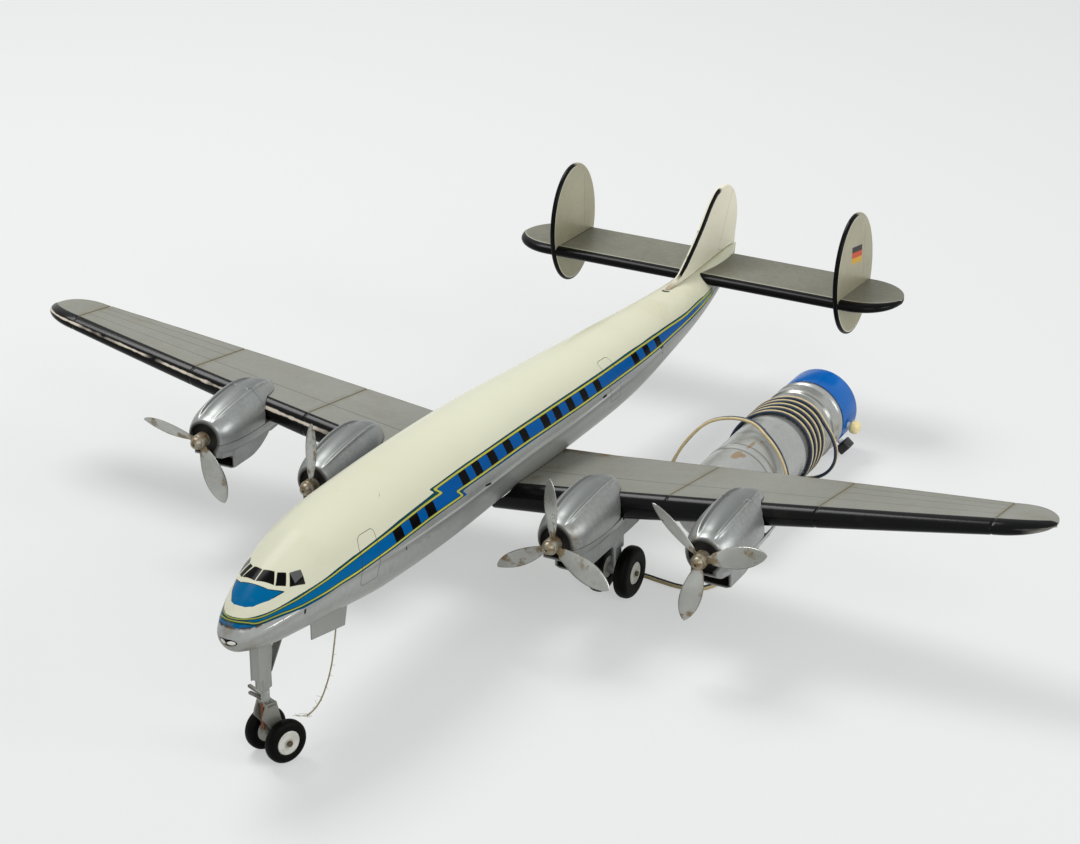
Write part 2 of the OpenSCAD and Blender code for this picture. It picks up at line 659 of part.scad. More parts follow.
BLADE_POINTS = 14;
module blade() {
    inner = hub_d / 2 - 0.85;
    length = prop_d / 2 - inner;
    us = [for (i = [0:BLADE_POINTS]) 1 - (1 - i / BLADE_POINTS) ^ 1.5];
    edge = [for (u = us) if (u < 0.995) [inner + length * u,
        max(u < 0.6 ? blade_root_w / 2 : 0.2, u < 0.08 ? blade_root_w / 2 : blade_half(u))]];
    rotate([blade_pitch, 0, 0])
        translate([0, 0, -blade_t / 2])
            linear_extrude(blade_t)
                polygon(concat(edge, [[inner + length, 0]],
                    [for (i = [len(edge) - 1:-1:0]) [edge[i][0], -edge[i][1]]]));
}
// The list gives each blade that the propeller still has
module prop_blades(e, kept) {
    color([0.60, 0.59, 0.55])
        translate([e[0], 0, e[2]])
            along_y(e[1] + hub_front + hub_l / 2)
                for (k = kept)
                    rotate([0, 0, -blade_root_angle(e) - 120 * k])
                        blade();
}
// Each propeller stands at its own angle
PORT_OUTER = concat(OUTER, [137]);
PORT_INNER = concat(INNER, [92]);
STARBOARD_INNER = concat([-INNER[0]], [for (i = [1:3]) INNER[i]], [86]);
STARBOARD_OUTER = concat([-OUTER[0]], [for (i = [1:3]) OUTER[i]], [172]);
module port_outer_prop_shaft() {
    prop_shaft(PORT_OUTER);
}
module port_inner_prop_shaft() {
    prop_shaft(PORT_INNER);
}
module starboard_inner_prop_shaft() {
    prop_shaft(STARBOARD_INNER);
}
module starboard_outer_prop_shaft() {
    prop_shaft(STARBOARD_OUTER);
}
module port_outer_prop_hub() {
    prop_hub(PORT_OUTER);
}
module port_inner_prop_hub() {
    prop_hub(PORT_INNER);
}
module starboard_inner_prop_hub() {
    prop_hub(STARBOARD_INNER);
}
module starboard_outer_prop_hub() {
    prop_hub(STARBOARD_OUTER);
}
module port_outer_prop_blades() {
    prop_blades(PORT_OUTER, [0, 1, 2]);
}
module port_inner_prop_blades() {
    prop_blades(PORT_INNER, [0, 1, 2]);
}
module starboard_inner_prop_blades() {
    prop_blades(STARBOARD_INNER, [0, 2]);
}
module starboard_outer_prop_blades() {
    prop_blades(STARBOARD_OUTER, [0, 1]);
}

// Tailplane: one folded sheet on each side, open at the trailing edge and at the body
tail_te = overall_length - tail_te_inset;
tail_le = tail_te - tail_chord;
tail_half = tail_span / 2;
tail_tip = 22;
tail_band = 4;
tail_fall = 0.04;
function tail_factor(x) =
    x <= tail_half - tail_tip ? 1 : sqrt(max(0.006, 1 - ((x - tail_half + tail_tip) / tail_tip) ^ 2));
function tail_front(x) = (tail_le + tail_te) / 2 - tail_chord / 2 * tail_factor(x);
function tail_rear(x) = (tail_le + tail_te) / 2 + tail_chord / 2 * tail_factor(x);
function tail_edge(x) = min(tail_band, 0.4 * (tail_rear(x) - tail_front(x)));
function tail_depth(x) = max(2 * tin + 0.8, tail_thick * sqrt(tail_factor(x)));
function tail_section(x, inset) =
    let(
        a = tail_front(x) + tail_edge(x),
        b = tail_rear(x),
        half = tail_depth(x) / 2 - inset,
        last = tin + 0.3 - inset
    )
    concat(
        [for (f = [1, 0.66, 0.33]) [x, mix(a, b, f), tail_z + mix(half, last, f)]],
        [for (i = [0:6]) let(angle = 90 - 30 * i)
            [x, a - (tail_edge(x) - inset) * cos(angle), tail_z + half * sin(angle)]],
        [for (f = [0.33, 0.66, 1]) [x, mix(a, b, f), tail_z - mix(half, last, f)]]);
function at_tail(points) =
    [for (p = points) [max(fin_t / 2, body_half_width(p[1], p[2])) + facet_gap, p[1], p[2]]];
TAIL_STEPS = concat([30, 55], [for (f = [0, 0.3, 0.55, 0.75, 0.9, 0.98, 1]) tail_half - tail_tip * (1 - f)]);
function tail_in(x) = x * (1 - 2 * tin / tail_half);
module tailplane() {
    outer = concat([placed(at_tail(tail_section(12, 0)))],
        [for (x = TAIL_STEPS) placed(tail_section(x, 0))]);
    inner = concat([placed(at_tail(tail_section(12, tin)))],
        [for (x = TAIL_STEPS) placed(tail_section(tail_in(x), tin))]);
    color(olive_silver)
        sheet(outer, inner, true);
}
module port_tailplane() {
    tailplane();
}
module starboard_tailplane() {
    mirror([1, 0, 0])
        tailplane();
}

// Centre fin, standing on the spine of the body between the tailplane's halves
FIN_EDGE = [[0, 0.0086], [0.0988, 0.0571], [0.1728, 0.1029], [0.321, 0.3286], [0.4691, 0.5857],
    [0.5926, 0.8429], [0.679, 0.9714], [0.7531, 1], [0.8272, 0.9914], [0.9012, 0.92],
    [0.963, 0.7714], [0.9963, 0.5714], [1, 0.3714], [0.9815, 0.1429], [0.9691, -0.029]];
fin_front = overall_length - fin_length;
fin_foot = body_top(fin_front);
module centre_fin() {
    last = overall_length - 0.031 * fin_length;
    outline = [for (p = FIN_EDGE)
        [y_at(fin_front + p[0] * fin_length), fin_foot + p[1] * (centre_fin_top - fin_foot)]];
    base = [for (i = [0:9]) let(s = mix(last, fin_front + 1, i / 9))
        [y_at(s), min(body_top(s) + (i == 0 ? 2 : 1) * facet_gap, fin_foot + 0.2)]];
    color(cream)
        translate([-fin_t / 2, 0, 0])
            rotate([90, 0, 90])
                linear_extrude(fin_t)
                    polygon(concat(outline, base));
}

// Oval fins with a slot that the tailplane passes through
oval_station = (tail_le + tail_te) / 2 + 1.5;
module oval_fin() {
    slot = tail_section(fin_x, -facet_gap);
    translate([fin_x - fin_t / 2, 0, 0])
        rotate([90, 0, 90])
            linear_extrude(fin_t)
                difference() {
                    polygon([for (i = [0:47]) let(a = 360 * i / 48)
                        [y_at(oval_station) + oval_length / 2 * cos(a),
                            tail_z + oval_rise + oval_height / 2 * sin(a)]]);
                    polygon(concat([for (p = slot) [y_at(p[1]), p[2]]]));
                }
}
module port_fin() {
    color(olive_silver)
        oval_fin();
}
module starboard_fin() {
    color(olive_silver)
        mirror([1, 0, 0])
            oval_fin();
}

// Nose leg: folded housing in the body, fork that steers in it, axle, tyres and hub discs
nose_r = nose_tyre_d / 2;
housing_low = 38;
sleeve_low = 32.5;
pin_r = 1.1;
tube_r = 1.8;
fork_top = 26.4;
module nose_leg_housing() {
    top = body_centre(nose_leg_station) - 4;
    color(silver)
        translate([0, leg_y, 0])
            difference() {
                translate([-housing_w / 2, 0, 0])
                    rotate([90, 0, 90])
                        linear_extrude(housing_w)
                            polygon([[-3.6, sleeve_low], [1.9, sleeve_low], [1.9, housing_low + 2],
                                [housing_back, housing_low + 9], [housing_back, top],
                                [-housing_front, top], [-housing_front, housing_low],
                                [-3.6, housing_low]]);
                translate([0, 0, sleeve_low - 1])
                    cylinder(h = top, r = pin_r + shaft_play, $fn = 48);
            }
}
brace_w = 3;
brace_t = 1.1;
module nose_leg_brace() {
    foot = [leg_y + 2.3, housing_low + 0.5];
    head_station = nose_leg_station + 12;
    head = [y_at(head_station), body_bottom(head_station + brace_t + 0.4) - 0.1];
    color(rusty)
        translate([-brace_w / 2, 0, 0])
            rotate([90, 0, 90])
                linear_extrude(brace_w)
                    polygon([foot, foot + [brace_t, 0], head + [brace_t + 0.4, 0], head]);
}
fork_w = nose_track - nose_tyre_w - 1.4;
function steer_turn() = -nose_steer;
module steered() {
    translate([0, leg_y, 0])
        rotate([0, 0, steer_turn()])
            children();
}
module nose_fork() {
    color(silver)
        steered()
            difference() {
                union() {
                    translate([0, 0, fork_top - 0.5])
                        cylinder(h = sleeve_low - fork_top + 0.3, r = tube_r, $fn = 48);
                    translate([0, 0, fork_top])
                        cylinder(h = housing_low - fork_top + 12, r = pin_r, $fn = 48);
                    translate([-fork_w / 2, -2, fork_top - 2])
                        cube([fork_w, 5, 2]);
                    for (side = [-1, 1])
                        translate([side > 0 ? fork_w / 2 - 1 : -fork_w / 2, 0, 0])
                            rotate([90, 0, 90])
                                linear_extrude(1)
                                    polygon([[-2, fork_top], [3, fork_top], [nose_trail + 1.4, nose_r + 6],
                                        [nose_trail + 2.3, nose_r], [nose_trail + 1.5, nose_r - 2.2],
                                        [nose_trail - 1.5, nose_r - 2.2], [nose_trail - 2.6, nose_r + 2],
                                        [nose_trail - 5.2, nose_r + 7], [-4, fork_top - 6.5],
                                        [-3.7, fork_top - 4.6]]);
                    translate([-1.1, -2, fork_top - 12.6])
                        cube([2.2, 0.8, 12]);
                    translate([-11.2, -0.9, fork_top + 1.3])
                        cube([11.5, 1.5, 1.2]);
                    translate([0, 0, fork_top + 0.1])
                        rotate([0, -7.5, 0])
                            translate([-10.2, -1.4, 0])
                                cube([11, 1.5, 1.2]);
                }
                translate([-10, nose_trail, nose_r])
                    rotate([0, 90, 0])
                        cylinder(h = 20, d = axle_d + 2 * shaft_play, $fn = 48);
            }
}
module on_nose_axle() {
    steered()
        translate([0, nose_trail, nose_r])
            rotate([0, 90, 0])
                children();
}
axle_head = 0.5;
module nose_axle() {
    reach = nose_track / 2 + nose_tyre_w / 2 + 0.3;
    color(rusty)
        on_nose_axle()
            union() {
                translate([0, 0, -reach - axle_head])
                    cylinder(h = 2 * (reach + axle_head), d = axle_d, $fn = 32);
                for (side = [0, 1])
                    mirror([0, 0, side])
                        translate([0, 0, reach])
                            cylinder(h = axle_head, d = axle_d + 0.6, $fn = 32);
            }
}
// A tyre with a rounded tread, standing across its axle
module tyre(d, w, hub_r) {
    round = w * 0.42;
    rotate_extrude($fn = 72)
        polygon(concat(
            [[hub_r, -w / 2]],
            [for (i = [0:5]) let(a = -90 + 90 * i / 5)
                [d / 2 - round + round * cos(a), -w / 2 + round + round * sin(a)]],
            [for (i = [0:5]) let(a = 90 * i / 5)
                [d / 2 - round + round * cos(a), w / 2 - round + round * sin(a)]],
            [[hub_r, w / 2]]));
}
module hub_disc(w, hub_r) {
    difference() {
        union() {
            cylinder(h = w, r = hub_r, center = true, $fn = 64);
            cylinder(h = w + 0.4, r = axle_d / 2 + 0.8, center = true, $fn = 48);
        }
        cylinder(h = w + 4, d = axle_d + 0.02, center = true, $fn = 32);
    }
}
disc_fit = 0.03;
module nose_tyres() {
    color(black)
        on_nose_axle()
            for (side = [-1, 1])
                translate([0, 0, side * nose_track / 2])
                    tyre(nose_tyre_d, nose_tyre_w, nose_hub_d / 2);
}
module nose_hub_discs() {
    color([0.80, 0.80, 0.76])
        on_nose_axle()
            for (side = [-1, 1])
                translate([0, 0, side * nose_track / 2])
                    hub_disc(nose_tyre_w - 0.6, nose_hub_d / 2 - disc_fit);
}

// Main legs under the inner engines, each with an axle and a pair of wheels
main_r = main_tyre_d / 2;
main_y = y_at(main_axle_station);
leg_r = 2.4;
boss_half = main_track / 2 - main_tyre_w / 2 - 0.4;
flange_t = 1;
function flange_z() = wing_under(inner_engine_x - 6, main_axle_station + 5) - facet_gap - flange_t - 0.25;
module main_leg() {
    difference() {
        union() {
            translate([inner_engine_x, main_y, main_r])
                cylinder(h = flange_z() - main_r + 0.2, r = leg_r, $fn = 48);
            translate([inner_engine_x, main_y, main_r + 12])
                cylinder(h = flange_z() - main_r - 14, r = leg_r + 1, $fn = 48);
            translate([inner_engine_x - 6, main_y - 5, flange_z()])
                cube([12, 10, flange_t]);
            translate([inner_engine_x - boss_half, main_y, main_r])
                rotate([0, 90, 0])
                    cylinder(h = 2 * boss_half, r = leg_r + 0.2, $fn = 48);
        }
        translate([inner_engine_x - 20, main_y, main_r])
            rotate([0, 90, 0])
                cylinder(h = 40, d = axle_d + 2 * shaft_play, $fn = 48);
    }
}
module port_main_leg() {
    color(silver)
        main_leg();
}
module starboard_main_leg() {
    color(silver)
        mirror([1, 0, 0])
            main_leg();
}
module main_axle(x) {
    reach = main_track / 2 + main_tyre_w / 2 + 0.3;
    translate([x, main_y, main_r])
        rotate([0, 90, 0])
            union() {
                translate([0, 0, -reach - axle_head])
                    cylinder(h = 2 * (reach + axle_head), d = axle_d, $fn = 32);
                for (end = [0, 1])
                    mirror([0, 0, end])
                        translate([0, 0, reach])
                            cylinder(h = axle_head, d = axle_d + 0.6, $fn = 32);
            }
}
module port_main_axle() {
    color(rusty)
        main_axle(inner_engine_x);
}
module starboard_main_axle() {
    color(rusty)
        main_axle(-inner_engine_x);
}
module main_pair(x) {
    for (side = [-1, 1])
        translate([x + side * main_track / 2, main_y, main_r])
            rotate([0, 90, 0])
                children();
}
module port_main_tyres() {
    color(black)
        main_pair(inner_engine_x)
            tyre(main_tyre_d, main_tyre_w, main_hub_d / 2);
}
module port_main_hub_discs() {
    color([0.80, 0.80, 0.76])
        main_pair(inner_engine_x)
            hub_disc(main_tyre_w - 0.6, main_hub_d / 2 - disc_fit);
}
module starboard_main_tyres() {
    color(black)
        main_pair(-inner_engine_x)
            tyre(main_tyre_d, main_tyre_w, main_hub_d / 2);
}
module starboard_main_hub_discs() {
    color([0.80, 0.80, 0.76])
        main_pair(-inner_engine_x)
            hub_disc(main_tyre_w - 0.6, main_hub_d / 2 - disc_fit);
}

// Electric motor in the front of the body, on a bracket, with a grooved pulley on its shaft
motor_z = body_centre(motor_station + motor_l / 2) - 2;

shaft_out = 11;
module motor_case() {
    color("gray")
        translate([0, 0, motor_z])
            along_y(motor_station)
                difference() {
                    union() {
                        cylinder(h = motor_l, d = motor_d, $fn = 64);
                        translate([0, 0, -1.6])
                            cylinder(h = 2, d = motor_shaft_d + 4, $fn = 48);
                    }
                    translate([0, 0, -3])
                        cylinder(h = 16, d = motor_shaft_d + 2 * shaft_play, $fn = 48);
                }
}
module motor_shaft() {
    color("silver")
        translate([0, 0, motor_z])
            along_y(motor_station - 1.6 - 0.3)
                union() {
                    translate([0, 0, -shaft_out])
                        cylinder(h = shaft_out + 12, d = motor_shaft_d, $fn = 32);
                    translate([0, 0, -5])
                        rotate_extrude($fn = 48)
                            polygon([[0, 0], [4.5, 0], [4.5, 0.8], [3, 2],
                                [3, 2.6], [4.5, 3.8], [4.5, 5], [0, 5]]);
                }
}
module motor_bracket() {
    color("silver")
        for (share = [0.2, 0.8]) {
            s = motor_station + motor_l * share;
            foot = body_bottom(s) + tin + facet_gap;
            web = 14;
            translate([-web / 2, y_at(s) - 0.5, 0])
                difference() {
                    translate([0, 0, foot + 1.1])
                        cube([web, 1, motor_z - foot - 1.1]);
                    translate([web / 2, -1, motor_z])
                        rotate([-90, 0, 0])
                            cylinder(h = 3, d = motor_d + 0.02, $fn = 64);
                }
        }
}

// Loose string from the belly down towards the nose wheels
function route_y(points) = [for (p = points) [p[0], y_at(p[1]), p[2]]];
STRING = [[6.5, string_hole[1], 52], [6.5, string_hole[1], 46], [7, string_hole[1] - 0.6, 40],
    [8, 64, 33.5], [8.3, 61.5, 27], [8, 58.6, 20.5], [7.5, 54.5, 14.6], [7, 49.8, 11.6], [6.2, 45, 10.6]];

// Tubes swept along a list of points, smoothed; section as wide and as thick as asked
function spline(p, i, t) =
    let(
        a = p[max(0, i - 1)],
        b = p[i],
        c = p[i + 1],
        d = p[min(len(p) - 1, i + 2)]
    )
    0.5 * (2 * b + (c - a) * t + (2 * a - 5 * b + 4 * c - d) * t ^ 2 + (3 * b - a - 3 * c + d) * t ^ 3);
function smooth(p, step) =
    concat([for (i = [0:len(p) - 2]) let(n = max(1, round(norm(p[i + 1] - p[i]) / step)))
        for (k = [0:n - 1]) spline(p, i, k / n)], [p[len(p) - 1]]);
function unit(v) = v / norm(v);
function heading(p, i) = unit(p[min(len(p) - 1, i + 1)] - p[max(0, i - 1)]);
function square_to(side, t) = unit(side - (side * t) * t);
function sides_along(p, side, i = 0, done = []) =
    i == len(p) ? done :
    let(s = square_to(i == 0 ? side : done[i - 1], heading(p, i)))
    sides_along(p, side, i + 1, concat(done, [s]));
function ring_about(c, t, side, w, h, n) =
    let(up = cross(t, side))
    [for (k = [0:n - 1]) let(a = 360 * (k + (n == 8 ? 0.5 : 0)) / n)
        c + side * (w / 2 * cos(a)) + up * (h / 2 * sin(a))];
function tube_faces(rings, n) = concat(
    [for (i = [0:rings - 2]) for (k = [0:n - 1])
        for (f = cell(i * n + k, i * n + (k + 1) % n, (i + 1) * n + (k + 1) % n, (i + 1) * n + k)) f],
    [for (k = [1:n - 2]) [0, k + 1, k]],
    [for (k = [1:n - 2]) let(b = (rings - 1) * n) [b, b + k, b + k + 1]]);
module tube(path, sides, w, h, n, last_heading = undef) {
    points = [for (i = [0:len(path) - 1])
        let(t = i == len(path) - 1 && !is_undef(last_heading) ? last_heading : heading(path, i))
        for (q = ring_about(path[i], t, sides[i], w, h, n)) q];
    polyhedron(points = points, faces = tube_faces(len(path), n), convexity = 12);
}
function route_length(p) = [for (i = [0:len(p) - 2]) norm(p[i + 1] - p[i])] * [for (i = [0:len(p) - 2]) 1];
module drive_string() {
    path = smooth(route_y(STRING), 2.8);
    echo(drive_string_length = route_length(path));
    color([0.62, 0.58, 0.45])
        tube(path, sides_along(path, [1, 0, 0]), string_d / cos(22.5), string_d / cos(22.5), 8);
}

// Handset lying on the floor beside the body, axis along Y, cap towards the tail
handset_r = handset_d / 2;
handset_l = 2 * cell_l + handset_spare;
wind_r = handset_r + 0.6 + cable_t / 2;
handset_z = wind_r + cable_t / 2 + 0.2;
cap_r = handset_r + tin;
handset_front = handset_end_station - handset_l;
cap_play = 0.06;
bead = 0.3;
bead_half = 3;
module on_handset(station) {
    translate([handset_x, 0, handset_z])
        along_y(station)
            children();
}
tube_l = handset_l - 5;
end_round = 3;
collar_end = handset_l - cap_l - 0.5;
collar_start = collar_end - collar_l;
BUTTON_ANGLES = [-10, -41];
button_back = 11.5;
stem_d = 3;
grip_beads = [0.254 * handset_l, 0.526 * handset_l];
module handset_tube() {
    beads = [for (b = grip_beads) for (k = [-3:3])
        [handset_r + bead * cos(30 * k), b + bead_half * k / 3]];
    inner_beads = [for (b = grip_beads) for (k = [-3:3])
        [handset_r - tin + bead * cos(30 * k), b + bead_half * k / 3]];
    collar = [[handset_r, collar_start], [handset_r + 0.45, collar_start + 1.2],
        [handset_r + 0.45, collar_end - 1.2], [handset_r, collar_end]];
    color(silver)
        on_handset(handset_front)
            difference() {
                rotate_extrude($fn = 96)
                    polygon(concat(
                    [[0, 0], [handset_r - end_round, 0]],
                    [for (i = [1:5]) let(a = 90 * i / 5)
                        [handset_r - end_round * (1 - sin(a)), end_round * (1 - cos(a))]],
                    beads, collar,
                    [[handset_r, tube_l], [handset_r - tin, tube_l]],
                    [for (i = [len(inner_beads) - 1:-1:0]) inner_beads[i]],
                    [for (i = [5:-1:1]) let(a = 90 * i / 5)
                        [handset_r - end_round + (end_round - tin) * sin(a),
                            end_round - (end_round - tin) * cos(a)]],
                    [[handset_r - end_round, tin], [0, tin]]));
                for (angle = BUTTON_ANGLES)
                    rotate([0, 0, -angle])
                        translate([handset_r - 4, -stem_d / 2 - 0.5,
                            handset_l - button_back - stem_d / 2 - 0.5])
                            cube([8, stem_d + 1, 20]);
            }
}
module cap_hole(angle, d) {
    translate([0, 0, handset_l - button_back])
        rotate([0, 0, -angle])
            rotate([0, 90, 0])
                cylinder(h = 40, d = d, $fn = 48);
}
module handset_cap() {
    color(blue)
        on_handset(handset_front)
            difference() {
                rotate_extrude($fn = 96)
                    polygon(concat(
                        [[handset_r + cap_play, handset_l - cap_l], [cap_r + cap_play, handset_l - cap_l]],
                        [for (i = [0:4]) let(a = 90 * i / 4)
                            [cap_r + cap_play - 1.6 + 1.6 * cos(a), handset_l - 1.6 + 1.6 * sin(a)]],
                        [[0, handset_l], [0, handset_l - tin], [cap_r - tin - 1, handset_l - tin],
                            [handset_r + cap_play, handset_l - 2]]));
                for (angle = BUTTON_ANGLES)
                    cap_hole(angle, stem_d + 2 * shaft_play);
            }
}
cell_start = 1.6;
module dry_cells() {
    color([0.35, 0.20, 0.12])
        on_handset(handset_front)
            union() {
                for (i = [0, 1])
                    translate([0, 0, cell_start + i * cell_l]) {
                        cylinder(h = cell_l - 1.6, d = cell_d, $fn = 64);
                        translate([0, 0, cell_l - 1.7])
                            cylinder(h = 1.7, d = 9, $fn = 32);
                    }
                translate([0, 0, tin])
                    cylinder(h = cell_start - tin + 0.1, d = 8, $fn = 32);
            }
}
plate_start = cell_start + 2 * cell_l + 0.3;
module switch_plate() {
    color([0.30, 0.22, 0.12])
        on_handset(handset_front + plate_start)
            cylinder(h = 0.8, r = handset_r - tin - 0.3, $fn = 64);
}
module at_button(angle) {
    on_handset(handset_front)
        translate([0, 0, handset_l - button_back])
            rotate([0, 0, -angle])
                rotate([0, 90, 0])
                    children();
}
stem_in = handset_r - 6;
button_gap = 0.5;
module stem() {
    translate([0, 0, stem_in])
        cylinder(h = cap_r - stem_in + cap_play + button_travel + button_gap, d = stem_d, $fn = 32);
}
module forward_button() {
    color([0.93, 0.86, 0.62])
        at_button(BUTTON_ANGLES[0])
            union() {
                stem();
                translate([0, 0, cap_r + cap_play + button_travel + button_gap - 0.2])
                    cylinder(h = 4.6, d = cream_button_d, $fn = 48);
            }
}
module reverse_button() {
    color(black)
        at_button(BUTTON_ANGLES[1])
            union() {
                stem();
                translate([-black_button_w / 2, -black_button_w / 2,
                    cap_r + cap_play + button_travel + button_gap - 0.2])
                    cube([black_button_w, black_button_w, 4.8]);
            }
}

// Flat twin cable: out of the port wing, along the floor, over the handset and round it
// The cable wound on the handset, in degrees round its tube
wind_start_angle = -85;
wind_degrees = 1935;
wind_steps = 129;
wind_first = handset_front + 0.504 * handset_l;
wind_tilt = 6;
loose_at = 1740;
loose_by = 7;
function loose(a) = abs(a - loose_at) < 60 ? loose_by * cos(1.5 * (a - loose_at)) ^ 2 : 0;
function wound(a) =
    let(angle = wind_start_angle - a, r = wind_r + loose(a))
    [handset_x + r * cos(angle),
        y_at(wind_first + turn_pitch * a / 360 + wind_tilt * cos(angle - 50)),
        handset_z + r * sin(angle)];
WOUND = [for (i = [0:wind_steps]) wound(wind_degrees * i / wind_steps)];
function outwards(a) = [cos(wind_start_angle - a), 0, sin(wind_start_angle - a)];
function across_of(t, normal) = unit(cross(unit(normal - (normal * t) * t), t));
function to_segment(p, a, b) =
    let(d = b - a, t = clamp(((p - a) * d) / (d * d), 0, 1))
    norm(p - a - t * d);
turn_steps = round(360 * wind_steps / wind_degrees);
wind_self_gap = min([for (i = [0:wind_steps - turn_steps - 4]) for (j = [-4:3])
    to_segment(WOUND[i], WOUND[i + turn_steps + j], WOUND[i + turn_steps + j + 1])]) - cable_w;
module cable_winding() {
    echo(wind_self_gap = wind_self_gap);
    echo(wind_length = route_length(WOUND));
    color([0.80, 0.75, 0.58])
        tube(WOUND,
            [for (i = [0:wind_steps]) across_of(heading(WOUND, i), outwards(wind_degrees * i / wind_steps))],
            cable_w, cable_t, 6);
}
// Route of the free cable, each point with the direction that its flat side faces
lie_z = cable_t / 2 + 0.2;
hole_exit = [cable_hole_x, y_at(cable_hole_station), cable_hole_z];
function over_handset(angle, off, ahead) =
    [handset_x + (handset_r + off) * cos(angle), y_at(handset_front) + ahead,
        handset_z + (handset_r + off) * sin(angle)];
wind_heading = heading(WOUND, 0);
UP = [0, 0, 1];
STRETCH = [
    [hole_exit + [0, 0, 2.5], [1, 0, 0]],
    [hole_exit + [0, 0, -4], [1, 0, 0]],
    [hole_exit + [0, 0.2, -18], [1, 0, 0]],
    [[cable_hole_x + 0.6, -0.4, 9], [1, 0, 0.1]],
    [[cable_hole_x + 5.2, -1.2, lie_z], [0.3, 0, 1]],
    [[65.8, -1.2, lie_z], UP],
    [[74, -2.4, lie_z], UP],
    [[84, -3.3, lie_z], UP],
    [[92.9, -0.7, lie_z], UP],
    [[97.9, 8.8, lie_z], UP],
    [[99.3, 22.8, lie_z], UP],
    [[97.6, 38.5, lie_z], UP],
    [[92.4, 51, lie_z], UP],
    [[82, 58.4, lie_z], UP],
    [[67, 60, lie_z], UP],
    [[53, 58.8, lie_z], UP],
    [[43.4, 61, lie_z], UP],
    [[38.6, 67.4, lie_z], UP],
    [[37.8, 74, 6.5], [-0.3, -1, 1]],
    [[41, 77.5, 18], [-1, -0.5, 0.3]],
    [[46, 81, 29], [-1, 0, 0.4]],
    [over_handset(142, 12.5, 49), [-0.7, 0, 0.7]],
    [over_handset(121, 8.5, 52), [-0.5, 0, 1]],
    [over_handset(95, 4.4, 53.5), UP],
    [over_handset(68, 2.6, 49), [0.4, 0, 1]],
    [over_handset(42, 2.6, 45.5), [1, 0, 1]],
    [over_handset(16, 3, 43.5), [1, 0, 0.3]],
    [over_handset(-12, 4.5, 43), [1, 0, 0]],
    [over_handset(-36, 8, 45), [1, 0.8, 0.4]],
    [[handset_x + 23.6, y_at(handset_front) + 53, lie_z], [0, 0.2, 1]],
    [[handset_x + 22, y_at(handset_front) + 63, lie_z], UP],
    [WOUND[0] + [13.5, 7, 0], UP],
    [WOUND[0] - 5 * wind_heading + [0, 0, 0.2], UP],
    [WOUND[0], -outwards(0)]];
module cable_stretch() {
    points = [for (r = STRETCH) r[0]];
    hints = [for (r = STRETCH) r[1]];
    raw = smooth(points, 6.6);
    path = [for (i = [0:len(raw) - 1])
        i >= len(raw) - 3 ? raw[i] : [raw[i][0], raw[i][1], max(lie_z, raw[i][2])]];
    sides = [for (i = [0:len(path) - 1])
        across_of(i == len(path) - 1 ? wind_heading : heading(path, i), smooth_hints(points, hints)[i])];
    echo(stretch_length = route_length(path));
    echo(stretch_rings = len(path));
    color([0.80, 0.75, 0.58])
        tube(path, sides, cable_w, cable_t, 8, wind_heading);
}
function smooth_hints(p, hints) =
    concat([for (i = [0:len(p) - 2]) let(n = max(1, round(norm(p[i + 1] - p[i]) / 6.6)))
        for (k = [0:n - 1]) mix(hints[i], hints[i + 1], k / n)], [hints[len(p) - 1]]);

upper_body_shell();
lower_body_shell();
nose_gear_doors();
wing_spar();
port_wing_upper_skin();
port_wing_lower_skin();
starboard_wing_upper_skin();
starboard_wing_lower_skin();
port_outer_cowl_top();
port_inner_cowl_top();
starboard_inner_cowl_top();
starboard_outer_cowl_top();
port_outer_cowl_bottom();
port_inner_cowl_bottom();
starboard_inner_cowl_bottom();
starboard_outer_cowl_bottom();
bearing_plates();
port_outer_prop_shaft();
port_inner_prop_shaft();
starboard_inner_prop_shaft();
starboard_outer_prop_shaft();
port_outer_prop_hub();
port_inner_prop_hub();
starboard_inner_prop_hub();
starboard_outer_prop_hub();
port_outer_prop_blades();
port_inner_prop_blades();
starboard_inner_prop_blades();
starboard_outer_prop_blades();
port_tailplane();
starboard_tailplane();
centre_fin();
port_fin();
starboard_fin();
nose_leg_housing();
nose_leg_brace();
nose_fork();
nose_axle();
nose_tyres();
nose_hub_discs();
port_main_leg();
starboard_main_leg();
port_main_axle();
starboard_main_axle();
port_main_tyres();
port_main_hub_discs();
starboard_main_tyres();
starboard_main_hub_discs();
motor_case();
motor_shaft();
motor_bracket();
drive_string();
handset_tube();
handset_cap();
dry_cells();
switch_plate();
forward_button();
reverse_button();
cable_stretch();
cable_winding();
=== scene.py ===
"""A tin toy airliner with its wired handset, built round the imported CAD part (lengths in mm unless said)"""

import json
import math

import bmesh
import bpy
import numpy as np
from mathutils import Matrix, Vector


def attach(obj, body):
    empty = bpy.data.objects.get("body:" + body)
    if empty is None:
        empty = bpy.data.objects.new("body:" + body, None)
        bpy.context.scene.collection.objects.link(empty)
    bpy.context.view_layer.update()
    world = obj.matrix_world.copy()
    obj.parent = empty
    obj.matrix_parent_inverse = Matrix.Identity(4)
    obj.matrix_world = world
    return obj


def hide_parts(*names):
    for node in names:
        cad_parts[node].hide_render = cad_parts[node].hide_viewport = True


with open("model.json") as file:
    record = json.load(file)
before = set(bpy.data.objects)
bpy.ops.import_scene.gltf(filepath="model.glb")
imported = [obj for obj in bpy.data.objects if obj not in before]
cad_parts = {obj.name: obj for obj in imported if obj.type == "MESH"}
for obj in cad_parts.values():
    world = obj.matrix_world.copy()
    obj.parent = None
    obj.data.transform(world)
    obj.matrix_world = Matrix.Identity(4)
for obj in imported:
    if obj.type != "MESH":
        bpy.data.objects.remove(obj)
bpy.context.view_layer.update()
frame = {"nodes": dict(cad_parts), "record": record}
MM = 0.001
PI = math.pi
